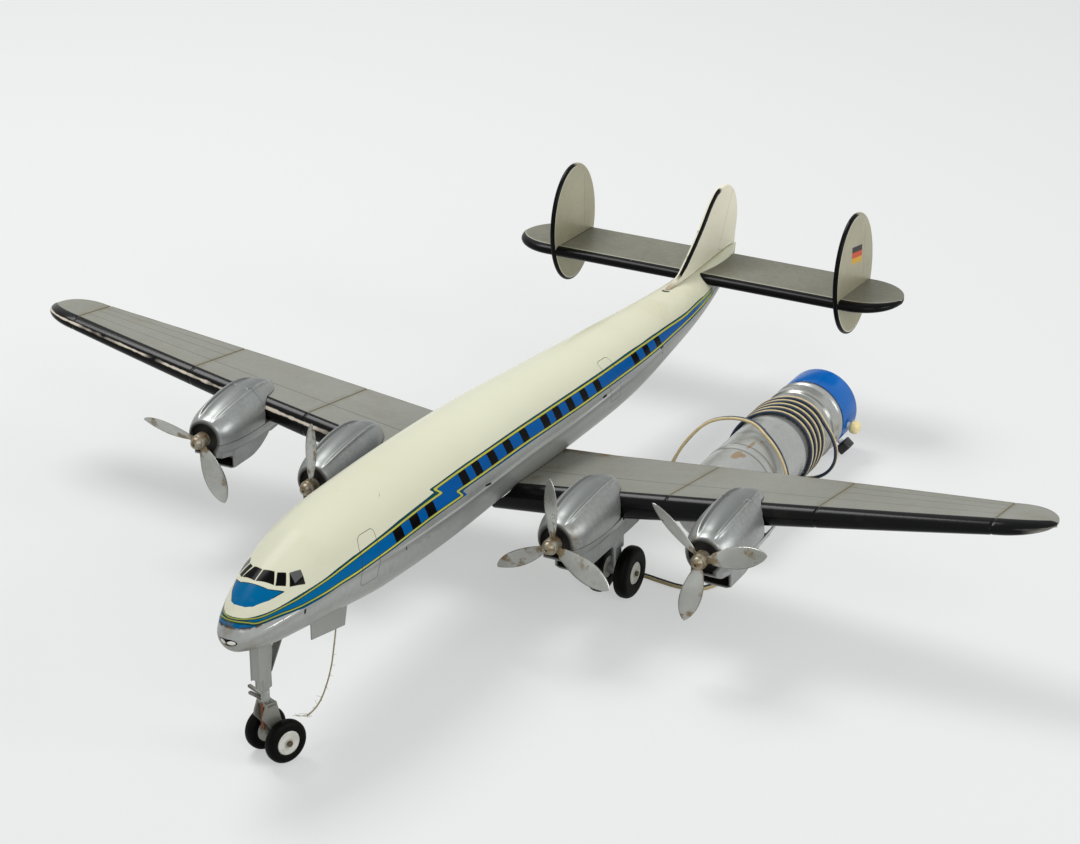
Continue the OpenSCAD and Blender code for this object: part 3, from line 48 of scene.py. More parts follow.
SIDES = ((1, "port"), (-1, "starboard"))
OL = 473.0      # overall length
TIN = 0.5       # thickness of the sheets
# the camera, solved from the photo
CAMERA_AT = (553.9, -1020.5, 594.3)
AZIMUTH, ELEVATION, LENS = math.radians(28.0), math.radians(24.6), 93.96

# Camera
cam_data = bpy.data.cameras.new("camera")
cam_data.lens = LENS
cam_data.sensor_width = 36.0
cam_data.clip_start = 0.01
cam_data.clip_end = 50.0
cam = bpy.data.objects.new("camera", cam_data)
bpy.context.scene.collection.objects.link(cam)
cam.location = Vector(CAMERA_AT) * MM
look = Vector((-math.sin(AZIMUTH) * math.cos(ELEVATION), math.cos(AZIMUTH) * math.cos(ELEVATION),
               -math.sin(ELEVATION)))
cam.rotation_euler = look.to_track_quat("-Z", "Y").to_euler()
bpy.context.scene.camera = cam


# Mesh helpers
def link(ob):
    bpy.context.scene.collection.objects.link(ob)
    return ob


def make_mesh(name, verts, faces, mat, attrs=None, sharp=None):
    """A smooth mesh from points in mm, with one float attribute per name in attrs"""
    me = bpy.data.meshes.new(name)
    verts = np.asarray(verts, float).reshape(-1, 3)
    me.from_pydata((verts * MM).tolist(), [], [tuple(int(i) for i in f) for f in faces])
    me.materials.append(mat)
    me.polygons.foreach_set("use_smooth", np.full(len(me.polygons), True))
    for k, v in (attrs or {}).items():
        a = me.attributes.new(k, "FLOAT", "POINT")
        a.data.foreach_set("value", np.asarray(v, np.float32).ravel())
    me.validate()
    me.update()
    if sharp is not None:
        me.set_sharp_from_angle(angle=math.radians(sharp))
    return link(bpy.data.objects.new(name, me))


def mend(ob, weld=0.0):
    """Normals outward, and points within weld (m) of each other joined"""
    bm = bmesh.new()
    bm.from_mesh(ob.data)
    if weld:
        bmesh.ops.remove_doubles(bm, verts=bm.verts, dist=weld)
    bmesh.ops.recalc_face_normals(bm, faces=bm.faces)
    bm.to_mesh(ob.data)
    bm.free()
    return ob


def dress(ob, body, slot, *nodes):
    """The piece rides on a body and stands for CAD nodes, which it hides; slot is not used"""
    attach(ob, body)
    if nodes:
        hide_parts(*nodes)


def grid_faces(n, m, start=0, flip=False, wrap=False):
    """Quads between n rows of m points, closed to rings if wrap"""
    i, j = np.meshgrid(np.arange(n - 1), np.arange(m if wrap else m - 1), indexing="ij")
    i, j = i.ravel(), j.ravel()
    k = (j + 1) % m
    f = np.stack([i * m + j, i * m + k, (i + 1) * m + k, (i + 1) * m + j], 1) + start
    return f[:, ::-1] if flip else f


def tube_faces(n, m):
    """Quads between n rings of m points, and both ends"""
    ends = [tuple(range(m))[::-1], tuple(range((n - 1) * m, n * m))]
    return [tuple(f) for f in grid_faces(n, m, wrap=True)] + ends


def sheet(name, outer, inner, mat, attrs, flip=False, sharp=40):
    """A tin sheet between two grids of points, with its cut edges; inside is 1 on the second"""
    outer, inner = np.asarray(outer, float), np.asarray(inner, float)
    n, m = outer.shape[:2]
    k = n * m
    e = []
    for j in range(m - 1):
        a = (n - 1) * m + j
        e += [(j + 1, j, j + k, j + 1 + k), (a, a + 1, a + 1 + k, a + k)]
    for i in range(n - 1):
        a, b = i * m, i * m + m - 1
        e += [(a, a + m, a + m + k, a + k), (b + m, b, b + k, b + m + k)]
    e = np.array(e)
    faces = np.concatenate([grid_faces(n, m, 0, flip), grid_faces(n, m, k, not flip),
                            e[:, ::-1] if flip else e])
    both = {key: np.tile(np.asarray(v, float).ravel(), 2) for key, v in attrs.items()}
    both["inside"] = np.repeat([0.0, 1.0], k)
    return make_mesh(name, np.concatenate([outer.reshape(-1, 3), inner.reshape(-1, 3)]), faces, mat, both,
                     sharp)


def lathe(name, profile, origin, axis, mat, n=96, side=None, sharp=35):
    """A turned piece from (radius, height) along axis; attributes: ph height, pr radius, pa angle"""
    a = Vector(axis).normalized()
    s = Vector(side) if side is not None else (Vector((0, 0, 1)) if abs(a.z) < 0.9 else Vector((1, 0, 0)))
    s = (s - a * s.dot(a)).normalized()
    prof = np.array(profile, float)
    t = np.linspace(0, 2 * PI, n, endpoint=False)
    V = np.concatenate([np.stack([r * np.cos(t), r * np.sin(t), np.full(n, h)], 1) for r, h in prof])
    V = V @ np.array([s, a.cross(s), a]) + np.array(origin, float)
    at = {"ph": np.repeat(prof[:, 1], n), "pr": np.repeat(prof[:, 0], n),
          "pa": np.tile(np.degrees(t), len(prof))}
    return mend(make_mesh(name, V, grid_faces(len(prof), n, wrap=True, flip=True), mat, at, sharp), 1e-7)


def side_plate(name, outline, x0, x1, mat, place, edge=0.2):
    """A flat pressed piece from an outline (y, z), its edges rounded; place puts its points"""
    P = np.array(outline, float)
    d = np.roll(P, -1, 0) - np.roll(P, 1, 0)
    across = np.stack([-d[:, 1], d[:, 0]], 1) / np.linalg.norm(d, axis=1)[:, None]
    half = (x1 - x0) / 2
    prof = [(edge * (1 - math.cos(a)), half * math.sin(a)) for a in np.linspace(0, PI / 2, 4)]
    rows = [(e, -w) for e, w in prof[::-1]] + prof[1:]
    V = [place(((x0 + x1) / 2 + w, *q)) for e, w in rows for q in P + across * e]
    return mend(make_mesh(name, V, tube_faces(len(rows), len(P)), mat, sharp=45))


def merge(obs, name):
    """Join several new objects into one"""
    for o in bpy.context.selected_objects:
        o.select_set(False)
    for o in obs:
        o.select_set(True)
    bpy.context.view_layer.objects.active = obs[0]
    if len(obs) > 1:
        bpy.ops.object.join()
    obs[0].name = name
    obs[0].data.name = name
    obs[0].select_set(False)
    return obs[0]


def box_piece(name, lo, hi, mat, bevel=0.15, xf=None):
    """A block with rounded edges; xf places its points"""
    bm = bmesh.new()
    bmesh.ops.create_cube(bm, size=1)
    lo, hi = np.array(lo, float), np.array(hi, float)
    for v in bm.verts:
        v.co = Vector(((lo + hi) / 2 + np.array(v.co) * (hi - lo)) * MM)
    if bevel:
        bmesh.ops.bevel(bm, geom=bm.edges[:], offset=bevel * MM, segments=3, profile=0.5, affect="EDGES")
    me = bpy.data.meshes.new(name)
    bm.to_mesh(me)
    bm.free()
    me.materials.append(mat)
    for p in me.polygons:
        p.use_smooth = True
    me.set_sharp_from_angle(angle=math.radians(50))
    ob = link(bpy.data.objects.new(name, me))
    if xf is not None:
        for v in me.vertices:
            v.co = Vector(xf(np.array(v.co) / MM)) * MM
        me.update()
    return ob


# Materials
class Sock:
    """An output of a node, to calculate with"""

    def __init__(self, g, s):
        self.g, self.s = g, s

    def __add__(self, o): return self.g.m("ADD", self, o)
    def __sub__(self, o): return self.g.m("SUBTRACT", self, o)
    def __rsub__(self, o): return self.g.m("SUBTRACT", o, self)
    def __mul__(self, o): return self.g.m("MULTIPLY", self, o)
    def __truediv__(self, o): return self.g.m("DIVIDE", self, o)
    def abs(self): return self.g.m("ABSOLUTE", self)


class Net:
    """A node tree, with short words for its nodes"""

    def __init__(self, nt):
        self.nt = nt
        self.known = {}

    def put(self, sock, v):
        if isinstance(v, Sock):
            self.nt.links.new(v.s, sock)
        elif v is not None:
            if hasattr(v, "__len__") and len(sock.default_value) == 4 and len(v) == 3:
                v = (*v, 1)
            sock.default_value = v

    def node(self, kind, inputs, out=0, **settings):
        n = self.nt.nodes.new("ShaderNode" + kind)
        for k, v in settings.items():
            setattr(n, k, v)
        for k, v in inputs.items():
            self.put(n.inputs[k], v)
        return Sock(self, n.outputs[out])

    def once(self, kind, out, **settings):
        """A node without inputs, made once"""
        key = (kind, out, *settings.values())
        if key not in self.known:
            self.known[key] = self.node(kind, {}, out, **settings)
        return self.known[key]

    def m(self, op, a, b=None):
        return self.node("Math", {0: a, 1: b}, operation=op)

    def least(self, first, *rest):
        for v in rest:
            first = self.m("MINIMUM", first, v)
        return first

    def most(self, a, b):
        return self.m("MAXIMUM", a, b)

    def mix(self, f, a, b):
        """A colour between a and b"""
        return self.node("Mix", {0: f, 6: a, 7: b}, 2, data_type="RGBA")

    def mixf(self, f, a, b):
        """A number between a and b"""
        return self.node("Mix", {0: f, 2: a, 3: b})

    def step(self, v, lo, hi):
        """0 below lo, 1 above hi (or the other way round)"""
        return self.node("MapRange", {"Value": v, "From Min": lo, "From Max": hi}, clamp=True)

    def ray(self, kind):
        return self.once("LightPath", f"Is {kind} Ray")


class Mat(Net):
    """A procedural material"""

    def __init__(self, name):
        self.mat = bpy.data.materials.new(name)
        self.mat.use_nodes = True
        super().__init__(self.mat.node_tree)
        self.nt.nodes.clear()
        self.out = self.nt.nodes.new("ShaderNodeOutputMaterial")
        self.bsdf = self.nt.nodes.new("ShaderNodeBsdfPrincipled")
        self.nt.links.new(self.bsdf.outputs[0], self.out.inputs[0])

    def attr(self, name):
        return self.once("Attribute", "Fac", attribute_name=name)

    def pos(self):
        return self.once("TexCoord", "Object")

    def xyz(self):
        return [self.node("SeparateXYZ", {0: self.pos()}, i) for i in range(3)]

    def scaled(self, v, s):
        return self.node("VectorMath", {0: v, 1: s}, operation="MULTIPLY")

    def noise(self, scale, detail=3.0, rough=0.5, vec=None):
        return self.node("TexNoise", {"Vector": vec or self.pos(), "Scale": scale, "Detail": detail,
                                      "Roughness": rough}, "Fac")

    def cells(self, scale):
        """Distance from the nearest of many scattered points"""
        return self.node("TexVoronoi", {"Vector": self.pos(), "Scale": scale}, "Distance")

    def cloud(self, lo, hi, *noise):
        """0 where a noise is below lo, 1 above hi"""
        return self.step(self.noise(*noise), lo, hi)

    def tones(self, a, b, lo, hi, *noise):
        """Two colours that run into each other where a noise goes from lo to hi"""
        return self.mix(self.cloud(lo, hi, *noise), lin(*a), lin(*b))

    def blot(self, c, color, most, lo, hi, *noise):
        """c with patches of another colour, where a noise goes from lo to hi"""
        return self.mix(self.cloud(lo, hi, *noise) * most, c, lin(*color))

    def line(self, d, half, soft=0.06):
        """1 within half of 0"""
        return self.step(d.abs(), half + soft, half - soft)

    def bump(self, h, strength):
        grain = self.node("Bump", {"Strength": strength, "Distance": 0.0001, "Height": h})
        self.put(self.bsdf.inputs["Normal"], grain)

    def finish(self, color, rough, metal, spec=None):
        for k, v in (("Base Color", color), ("Roughness", rough), ("Metallic", metal),
                     ("Specular IOR Level", spec)):
            self.put(self.bsdf.inputs[k], v)
        return self.mat


def lin(*rgb):
    """A colour as seen on a screen (0 to 255) in linear light"""
    return tuple(c / 255 / 12.92 if c / 255 <= 0.04045 else ((c / 255 + 0.055) / 1.055) ** 2.4 for c in rgb)


CREAM = lin(208, 208, 186)
SILVER = lin(164, 166, 165)
OLIVE = lin(142, 142, 134)
BLACK = lin(9, 9, 9)


def silver_paint(name, base=SILVER, dirt=0.35, rough=0.36, metal=0.55):
    g = Mat(name)
    big, fine = g.noise(14, 4, 0.6), g.noise(420, 3, 0.6)
    c = g.mix(g.step(big, 0.35, 0.75), base, tuple(x * 0.86 for x in base))
    c = g.mix(g.step(fine, 0.3, 0.8) * 0.12, c, tuple(min(1, x * 1.35) for x in base))
    grime = g.cloud(0.62, 0.8, 60, 6, 0.7) * dirt
    c = g.mix(grime, c, lin(92, 78, 52))
    specks = g.step(g.cells(260), 0.06, 0.03) * g.cloud(0.5, 0.62, 30, 2)
    c = g.mix(specks * 0.6, c, lin(50, 44, 34))
    c = g.mix(g.attr("inside"), c, lin(120, 114, 92))
    g.bump(g.noise(900, 2, 0.5), 0.06)
    return g.finish(c, g.mixf(grime, rough, 0.6), metal)


def worn_metal(name, base, rust, amount=0.5, rough=0.4, metal=0.9, scale=90.0):
    g = Mat(name)
    n1 = g.noise(scale, 6, 0.65)
    n2 = g.noise(scale * 5, 4, 0.6)
    f = g.step(n1 + n2 * 0.3, 0.78 - amount * 0.25, 0.95 - amount * 0.2)
    c = g.mix(f, base, rust)
    c = g.mix(g.step(n2, 0.55, 0.75) * 0.3, c, tuple(x * 0.5 for x in base))
    g.bump(n2, 0.25)
    return g.finish(c, g.mixf(f, rough, 0.75), g.mixf(f, metal, 0.2))


def plain_paint(name, base, rough=0.3, var=0.12, scale=120.0, bump=0.05):
    g = Mat(name)
    n = g.noise(scale, 5, 0.6)
    c = g.mix(g.step(n, 0.3, 0.75) * var * 4, base, tuple(x * 0.72 for x in base))
    g.bump(g.noise(700, 2), bump)
    return g.finish(c, g.mixf(g.step(n, 0.4, 0.7), rough, rough * 1.25), 0.0)


M = {}
M["silver"] = silver_paint("silver_tin")
M["silver_handset"] = silver_paint("handset_silver_plain", base=lin(168, 169, 168), dirt=0.15, rough=0.3)
M["olive"] = silver_paint("grey_tin", base=OLIVE, dirt=0.4, rough=0.4, metal=0.35)
M["tin"] = worn_metal("tinplate", lin(168, 164, 150), lin(120, 96, 58), 0.35, 0.32)
M["rust"] = worn_metal("rusty_steel", lin(92, 78, 60), lin(58, 40, 24), 0.6, 0.6, 0.5, 160)
M["dark"] = plain_paint("dark_tin", lin(34, 32, 28), 0.6)
M["steel"] = worn_metal("steel_wire", lin(150, 148, 142), lin(110, 84, 52), 0.3, 0.35)
M["cream_plastic"] = plain_paint("cream_plastic", lin(232, 216, 158), 0.25, 0.08)
M["white_plastic"] = plain_paint("white_plastic", lin(232, 232, 228), 0.3, 0.06)
M["black_plastic"] = plain_paint("black_plastic", lin(18, 18, 20), 0.28, 0.2)
M["cable_cream"] = plain_paint("cable_cream", lin(206, 188, 142), 0.5, 0.25, 300, 0.15)
M["cable_navy"] = plain_paint("cable_navy", lin(12, 34, 58), 0.4, 0.2, 300, 0.15)
M["string"] = plain_paint("string_tan", lin(158, 148, 118), 0.8, 0.3, 900, 0.6)
M["jacket"] = plain_paint("cell_jacket", lin(120, 40, 30), 0.4)
M["fibre"] = plain_paint("fibre_board", lin(110, 84, 54), 0.7)


# Cable
def ys(s):
    """Y of a station counted from the nose's tip"""
    return s - OL / 2


def catmull(P, per):
    """A smooth line through points, per steps between two"""
    P = np.asarray(P, float)
    out = []
    for i in range(len(P) - 1):
        a, b, c, d = P[max(0, i - 1)], P[i], P[i + 1], P[min(len(P) - 1, i + 2)]
        for k in range(per):
            t = k / per
            out.append(0.5 * (2 * b + (c - a) * t + (2 * a - 5 * b + 4 * c - d) * t ** 2
                              + (3 * b - a - 3 * c + d) * t ** 3))
    out.append(P[-1])
    return np.array(out)


HX, HZ, HR = 78.6, 20.3, 18.0       # the handset's axis and radius
FRONT, HL = ys(273.0), 136.0        # its front end and length
CT = 1.5                # thickness of one strand of the twin cable
WIND_R = HR + 0.6 + CT / 2
LIE = CT / 2 + 0.2      # height of its middle on the floor
WIND_FROM = -85.0       # angle at which the winding starts
TURNS = 1935.1          # degrees wound
LOOSE_AT, LOOSE = 1740, 7       # where one turn stands off, and how far
WIND_Y = ys(341.5)


def wound(a):
    """The winding's centreline after a degrees, with one turn that stands off the handset"""
    a = np.asarray(a, float)
    ang = np.radians(WIND_FROM - a)
    off = a - LOOSE_AT
    r = WIND_R + np.where(abs(off) < 60, LOOSE * np.cos(np.radians(1.5 * off)) ** 2, 0)
    y = WIND_Y + 4.6 * a / 360 + 6 * np.cos(ang - math.radians(50))
    return np.stack([HX + r * np.cos(ang), y, HZ + r * np.sin(ang)], -1)


def over_handset(angle, off, ahead):
    """A point off the handset's tube, ahead of its front end"""
    a = math.radians(angle)
    return [HX + (HR + off) * math.cos(a), FRONT + ahead, HZ + (HR + off) * math.sin(a)]


W0 = wound(0)
W1 = (wound(1) - W0) / np.linalg.norm(wound(1) - W0)
HOLE = np.array([49.8, ys(236), 44.884])        # where it leaves the wing
UP = [0, 0, 1]
# the loose part: point, and the way its flat side faces
STRETCH = [[HOLE + [0, 0, 2.5], [1, 0, 0]], [HOLE + [0, 0, -4], [1, 0, 0]],
           [HOLE + [0, 0.2, -18], [1, 0, 0]], [[50.4, -0.4, 9], [1, 0, 0.1]],
           [[55, -1.2, LIE], [0.3, 0, 1]], [[65.8, -1.2, LIE], UP], [[74, -2.4, LIE], UP],
           [[84, -3.3, LIE], UP], [[92.9, -0.7, LIE], UP], [[97.9, 8.8, LIE], UP], [[99.3, 22.8, LIE], UP],
           [[97.6, 38.5, LIE], UP], [[92.4, 51, LIE], UP], [[82, 58.4, LIE], UP], [[67, 60, LIE], UP],
           [[53, 58.8, LIE], UP], [[43.4, 61, LIE], UP], [[38.6, 67.4, LIE], UP],
           [[37.8, 74, 6.5], [-0.3, -1, 1]], [[41, 77.5, 18], [-1, -0.5, 0.3]],
           [[46, 81, 29], [-1, 0, 0.4]], [over_handset(142, 12.5, 49), [-0.7, 0, 0.7]],
           [over_handset(121, 8.5, 52), [-0.5, 0, 1]], [over_handset(95, 4.4, 53.5), UP],
           [over_handset(68, 2.6, 49), [0.4, 0, 1]], [over_handset(42, 2.6, 45.5), [1, 0, 1]],
           [over_handset(16, 3, 43.5), [1, 0, 0.3]], [over_handset(-12, 4.5, 43), [1, 0, 0]],
           [over_handset(-36, 8, 45), [1, 0.8, 0.4]], [[HX + 23.6, FRONT + 53, LIE], [0, 0.2, 1]],
           [[HX + 22, FRONT + 63, LIE], UP], [W0 + [13.5, 7, 0], UP], [W0 - 5 * W1 + [0, 0, 0.2], UP],
           [W0, [-math.cos(math.radians(WIND_FROM)), 0, -math.sin(math.radians(WIND_FROM))]]]


def cable_line():
    """The cable's centreline, and the way its flat side faces at each point"""
    per = 8
    P = catmull([r[0] for r in STRETCH], per)
    N = np.array([r[1] for r in STRETCH], float)
    hints = np.array([N[i] + (N[i + 1] - N[i]) * k / per for i in range(len(N) - 1) for k in range(per)]
                     + [N[-1]])
    P[:-per, 2] = np.maximum(P[:-per, 2], LIE)
    a = np.arange(2, TURNS, 3.0)
    ang = np.radians(WIND_FROM - a)
    inward = -np.stack([np.cos(ang), 0 * a, np.sin(ang)], -1)
    return np.concatenate([P, wound(a)]), np.concatenate([hints, inward])


def sides_of(P, hints):
    """Two directions across a line, the first of them near the hints"""
    T = np.gradient(P, axis=0)
    T /= np.linalg.norm(T, axis=1)[:, None]
    n = hints - (hints * T).sum(1)[:, None] * T
    n /= np.linalg.norm(n, axis=1)[:, None]
    return n, np.cross(n, T)


def sweep(name, P, n, side, mat, r, sides=10, offset=0.0):
    """A round wire along a line, offset to one side of it"""
    t = np.linspace(0, 2 * PI, sides, endpoint=False)[None, :, None]
    V = (P + side * offset)[:, None, :] + r * (np.cos(t) * side[:, None, :] + np.sin(t) * n[:, None, :])
    return mend(make_mesh(name, V, tube_faces(len(P), sides), mat))


CP, CH = cable_line()
CN, CS = sides_of(CP, CH)
strands = [sweep(f"cable_{color}_half", CP, CN, CS, M["cable_" + color], CT / 2, 12, off)
           for color, off in (("cream", -0.74), ("navy", 0.74))]
cable = merge(strands, "twin_cable")
dress(cable, "airliner", "cable_sheath", "cable_stretch", "cable_winding")


# Stage
def stage_plane():
    """A plain pale floor that runs out of the picture on all sides"""
    me = bpy.data.meshes.new("floor")
    r = 6.0
    me.from_pydata([(-r, -r, 0), (r, -r, 0), (r, r, 0), (-r, r, 0)], [], [(0, 1, 2, 3)])
    ob = link(bpy.data.objects.new("floor", me))
    g = Mat("floor_white")
    x, y, _ = g.xyz()
    far = g.step(g.m("SQRT", x * x + y * y), 0.5, 2.6)
    g.finish((0.72, 0.725, 0.72), 0.9, 0.0, 0.2)
    glow = g.node("Emission", {0: g.mix(far, lin(233, 235, 234), lin(226, 229, 228))})
    share = g.most(g.ray("Camera") * 0.55, g.ray("Glossy") * 0.4)
    g.put(g.out.inputs[0], g.node("MixShader", {0: share, 1: Sock(g, g.bsdf.outputs[0]), 2: glow}))
    me.materials.append(g.mat)


stage_plane()


def area(name, place, size, power):
    """A square soft light that looks at the toy's middle"""
    d = bpy.data.lights.new(name, "AREA")
    d.shape = "SQUARE"
    d.size = size
    d.energy = power
    o = link(bpy.data.objects.new(name, d))
    o.location = place
    o.rotation_euler = (Vector((0, 0, 0.05)) - Vector(place)).to_track_quat("-Z", "Y").to_euler()


for light in (("key", (-0.75, 0.35, 1.5), 0.7, 20), ("fill", (1.3, -1.2, 1.3), 0.9, 10),
              ("side", (1.5, 0.1, 0.7), 0.6, 8)):
    area(*light)

# World: soft grey light; the camera, gloss and glass see a pale background
world = bpy.data.worlds.new("world")
bpy.context.scene.world = world
world.use_nodes = True
w = Net(world.node_tree)
seen = w.node("Math", {0: w.ray("Camera"), 1: w.ray("Glossy") + w.ray("Transmission")}, operation="ADD",
              use_clamp=True)
w.put(w.nt.nodes["Background"].inputs[0], w.mix(seen, (0.42, 0.425, 0.43), lin(228, 231, 230)))
bpy.context.scene.view_settings.view_transform = "Standard"

# Body
AXIS_Z, BODY_R = 67.3, 25.0
# share of the length, height of the middle over the axis, share of the greatest radius
BODY = np.array([(0, -2.1, 0.012), (0.006, -1.7, 0.228), (0.017, -1.1, 0.356), (0.0275, -0.5, 0.44),
                 (0.0486, 0.7, 0.572), (0.07, 1.8, 0.668), (0.091, 2.7, 0.748), (0.112, 3.5, 0.812),
                 (0.154, 2.9, 0.912), (0.197, 1.8, 0.968), (0.302, 0, 1), (0.429, -2, 0.952),
                 (0.556, -6.1, 0.88), (0.683, -9.4, 0.784), (0.789, -9.5, 0.616), (0.873, -8, 0.468),
                 (0.937, -3.8, 0.328), (0.979, 0.2, 0.168), (1.0, 2.2, 0.03)])


def along(T, v, k):
    """Column k of a table at v, smooth from row to row"""
    v = np.asarray(v, float)
    x, y = T[:, 0], T[:, k]
    ends = np.diff(y) / np.diff(x)
    sl = np.concatenate([ends[:1], (y[2:] - y[:-2]) / (x[2:] - x[:-2]), ends[-1:]])
    i = np.clip(np.searchsorted(x, v, side="right") - 1, 0, len(x) - 2)
    h = x[i + 1] - x[i]
    t = (v - x[i]) / h
    return ((2 * t ** 3 - 3 * t ** 2 + 1) * y[i] + (t ** 3 - 2 * t ** 2 + t) * h * sl[i]
            + (3 * t ** 2 - 2 * t ** 3) * y[i + 1] + (t ** 3 - t ** 2) * h * sl[i + 1])


def share(s):
    return np.clip(np.asarray(s, float) / OL, 0, 1)


def b_c(s):
    """Height of the body's middle at station s"""
    return AXIS_Z + along(BODY, share(s), 1)


def b_r(s):
    """Radius of the body at station s"""
    return BODY_R * along(BODY, share(s), 2)


def b_top(s):
    return float(b_c(s) + b_r(s))


def rect_sdf(u, v, u0, u1, v0, v1, r=0.6):
    """Distance, positive inside a rectangle with corners rounded by r"""
    du, dv = abs(u - (u0 + u1) / 2) - (u1 - u0) / 2 + r, abs(v - (v0 + v1) / 2) - (v1 - v0) / 2 + r
    return -(np.hypot(np.maximum(du, 0), np.maximum(dv, 0)) + np.minimum(np.maximum(du, dv), 0) - r)


def stretch_sdf(u, v, a, b, k):
    """Distance from (u, v) to the stretch from a to b, where one step of v is k mm"""
    ex, ey = b[0] - a[0], (b[1] - a[1]) * k
    wx, wy = u - a[0], (v - a[1]) * k
    f = np.clip((wx * ex + wy * ey) / np.maximum(1e-9, ex * ex + ey * ey), 0, 1)
    return np.hypot(wx - f * ex, wy - f * ey)


def within(u, v, pts):
    """Whether (u, v) lies inside a polygon"""
    inside = np.zeros(u.shape, bool)
    for a, b in zip(pts, np.roll(pts, -1, 0)):
        with np.errstate(divide="ignore", invalid="ignore"):
            x = (b[0] - a[0]) * (v - a[1]) / (b[1] - a[1]) + a[0]
        inside ^= ((a[1] > v) != (b[1] > v)) & (u < x)
    return inside


NOSE_Z = 65.3       # height of the landing light at the tip
CRIMP = 0.28        # how far the upper shell's edge stands out over the lower one
REACH = 6.0         # distances of the print are kept up to here
# the print: (station, angle above the horizontal) along each line, with a slanted jog between its two parts
CREAM_EDGE = [[(5.4, 90), (5.56, 80), (6.0, 70), (6.6, 62), (7.4, 55.3), (8.7, 48.7), (10.6, 42),
               (13.5, 35.3), (15.8, 32), (18.8, 28.7), (23, 26.3), (26.9, 24.7), (30.7, 23.3), (34.6, 22),
               (38.4, 21), (42.3, 20.3), (46, 20.1), (50, 20.3), (53.8, 20.8), (57.7, 21.5), (61.5, 22.3),
               (66, 22.8), (72, 23.8), (78, 24.9), (86, 26.5), (94, 28), (100, 28.6), (110, 29.5),
               (120, 30.4), (124, 31)], [(121.5, 35.8), (130, 35.8), (150, 36.2), (160, 35.8), (180, 35.3),
                                         (200, 35), (220, 35), (240, 35.5), (260, 35.9), (280, 36.2),
                                         (300, 36.8), (311, 37.3), (321, 37.1), (332, 36), (343, 35.5),
                                         (350, 34.3), (359, 32.9), (370, 30.3), (381, 27.4), (391, 25.5),
                                         (402, 25.5), (410, 23.4), (413.4, 21.3), (440, 19), (473, 17)]]
UPPER_YELLOW = [[(4.9, 90), (5.05, 80), (5.5, 70), (6.0, 64), (6.6, 58), (7.2, 53.3), (8.1, 48), (8.8, 44),
                 (9.7, 40), (11, 36), (13, 32), (16, 28), (20, 24.7), (25, 21.7), (30, 19.3), (40, 17.7),
                 (50, 16.7), (60, 18.5), (70, 20.5), (80, 22.2), (90, 23.8), (100, 25), (115, 26.2),
                 (128.5, 26.2)], [(124.8, 33.1), (150, 33.4), (180, 32.5), (200, 32), (220, 31.8),
                                  (240, 32.3), (280, 32.5), (300, 33), (325, 32.9), (338, 31.8),
                                  (346, 30.6), (354, 29.2), (364.5, 27.1), (375, 23.9), (386, 21.1),
                                  (397, 20.5), (407.5, 19.2), (413, 17.6), (424, 16)]]
LOWER_YELLOW = [[(4.1, 90), (4.2, 80), (4.5, 70), (4.92, 62), (5.5, 55), (6.2, 48), (7, 42), (7.6, 37),
                 (8.5, 32), (10, 27), (13, 22), (16, 19), (20, 15.3), (25, 10.5), (30, 7), (35, 5.2),
                 (40, 4), (50, 2.7), (60, 3.2), (70, 4.9), (80, 6.9), (90, 8.7), (100, 10), (120, 11.5),
                 (142.5, 11)], [(139, 18), (150, 17.5), (180, 16.2), (200, 15.7), (220, 15), (240, 15),
                                (260, 14.8), (280, 15), (300, 15.4), (316, 15), (332, 13.9), (343, 12.9),
                                (354, 11.6), (365, 10.8), (375, 9.5), (386, 8.5), (397, 7.6), (410, 6.6),
                                (424, 5.8)]]
SILVER_EDGE = [[(2.3, 90), (2.4, 75), (2.75, 60), (3.2, 50), (4.1, 40), (4.75, 35), (5.8, 30), (8.1, 23.3),
                (10, 20.7), (13.1, 16.7), (16.5, 13.3), (19.2, 11), (23, 8), (26.9, 5), (30.8, 2),
                (38.5, 0.3), (42.3, -0.3), (46, -0.7), (50, -0.8), (57.7, 0), (61.5, 0.7), (70, 2.5),
                (80, 4.4), (100, 7.6), (120, 9.2), (146, 9)],
               [(143, 14.4), (150, 15), (180, 13.2), (200, 12.5), (220, 12.3), (280, 12.3), (300, 12.5),
                (321, 11.8), (343, 9.7), (354, 7.6), (365, 6.6), (375, 5), (386, 3.9), (397, 3.4),
                (410, 2.6), (424, 2)]]
# windows: first and last station, lowest and highest angle
WINDOWS = [(89.2, 95, 10.5, 22.5), (102, 107.8, 12, 23.2), (114.5, 120.5, 12.8, 24), (144.7, 150, 19.7, 31),
           (156.3, 161.5, 19.3, 31.1), (169.8, 175.3, 18.6, 31), (184.2, 189.7, 17.7, 30.3),
           (199.7, 205, 17.5, 29.7), (220, 225.8, 17, 29.7), (232.2, 237.7, 17.1, 29.7),
           (245.5, 251.3, 16.8, 30), (260.2, 265.5, 17.3, 30.3), (274.7, 280, 17.3, 30.7),
           (317.5, 323, 17, 30.5), (330.9, 336.2, 16.5, 30.3), (345, 350.3, 14.5, 30)]
FRONT_DOOR = [(68, 35), (66.5, 27), (66, 10), (65, -2), (64.5, -10), (65.2, -16), (67, -17.5),
              (74.5, -16.8), (76.2, -14), (75.8, -10), (76.5, -2), (77.5, 10), (78, 27), (78.5, 34),
              (77.5, 37), (70, 37.5)]
REAR_DOOR = [(286.8, 46), (287.4, 30), (288, 16), (289, -10), (299.3, -10), (299.5, -4), (299.8, 17),
             (298.5, 36), (297.6, 46), (296, 48.5), (288.5, 48.5)]
PANES = [[(27.4, 89), (28.6, 73), (23.6, 59.5), (21.5, 89)],
         [(28.8, 69), (31.1, 59.3), (26.9, 45.7), (23.8, 57.3)],
         [(31.9, 56), (36.5, 48.7), (34.6, 30), (28, 41.3)]]
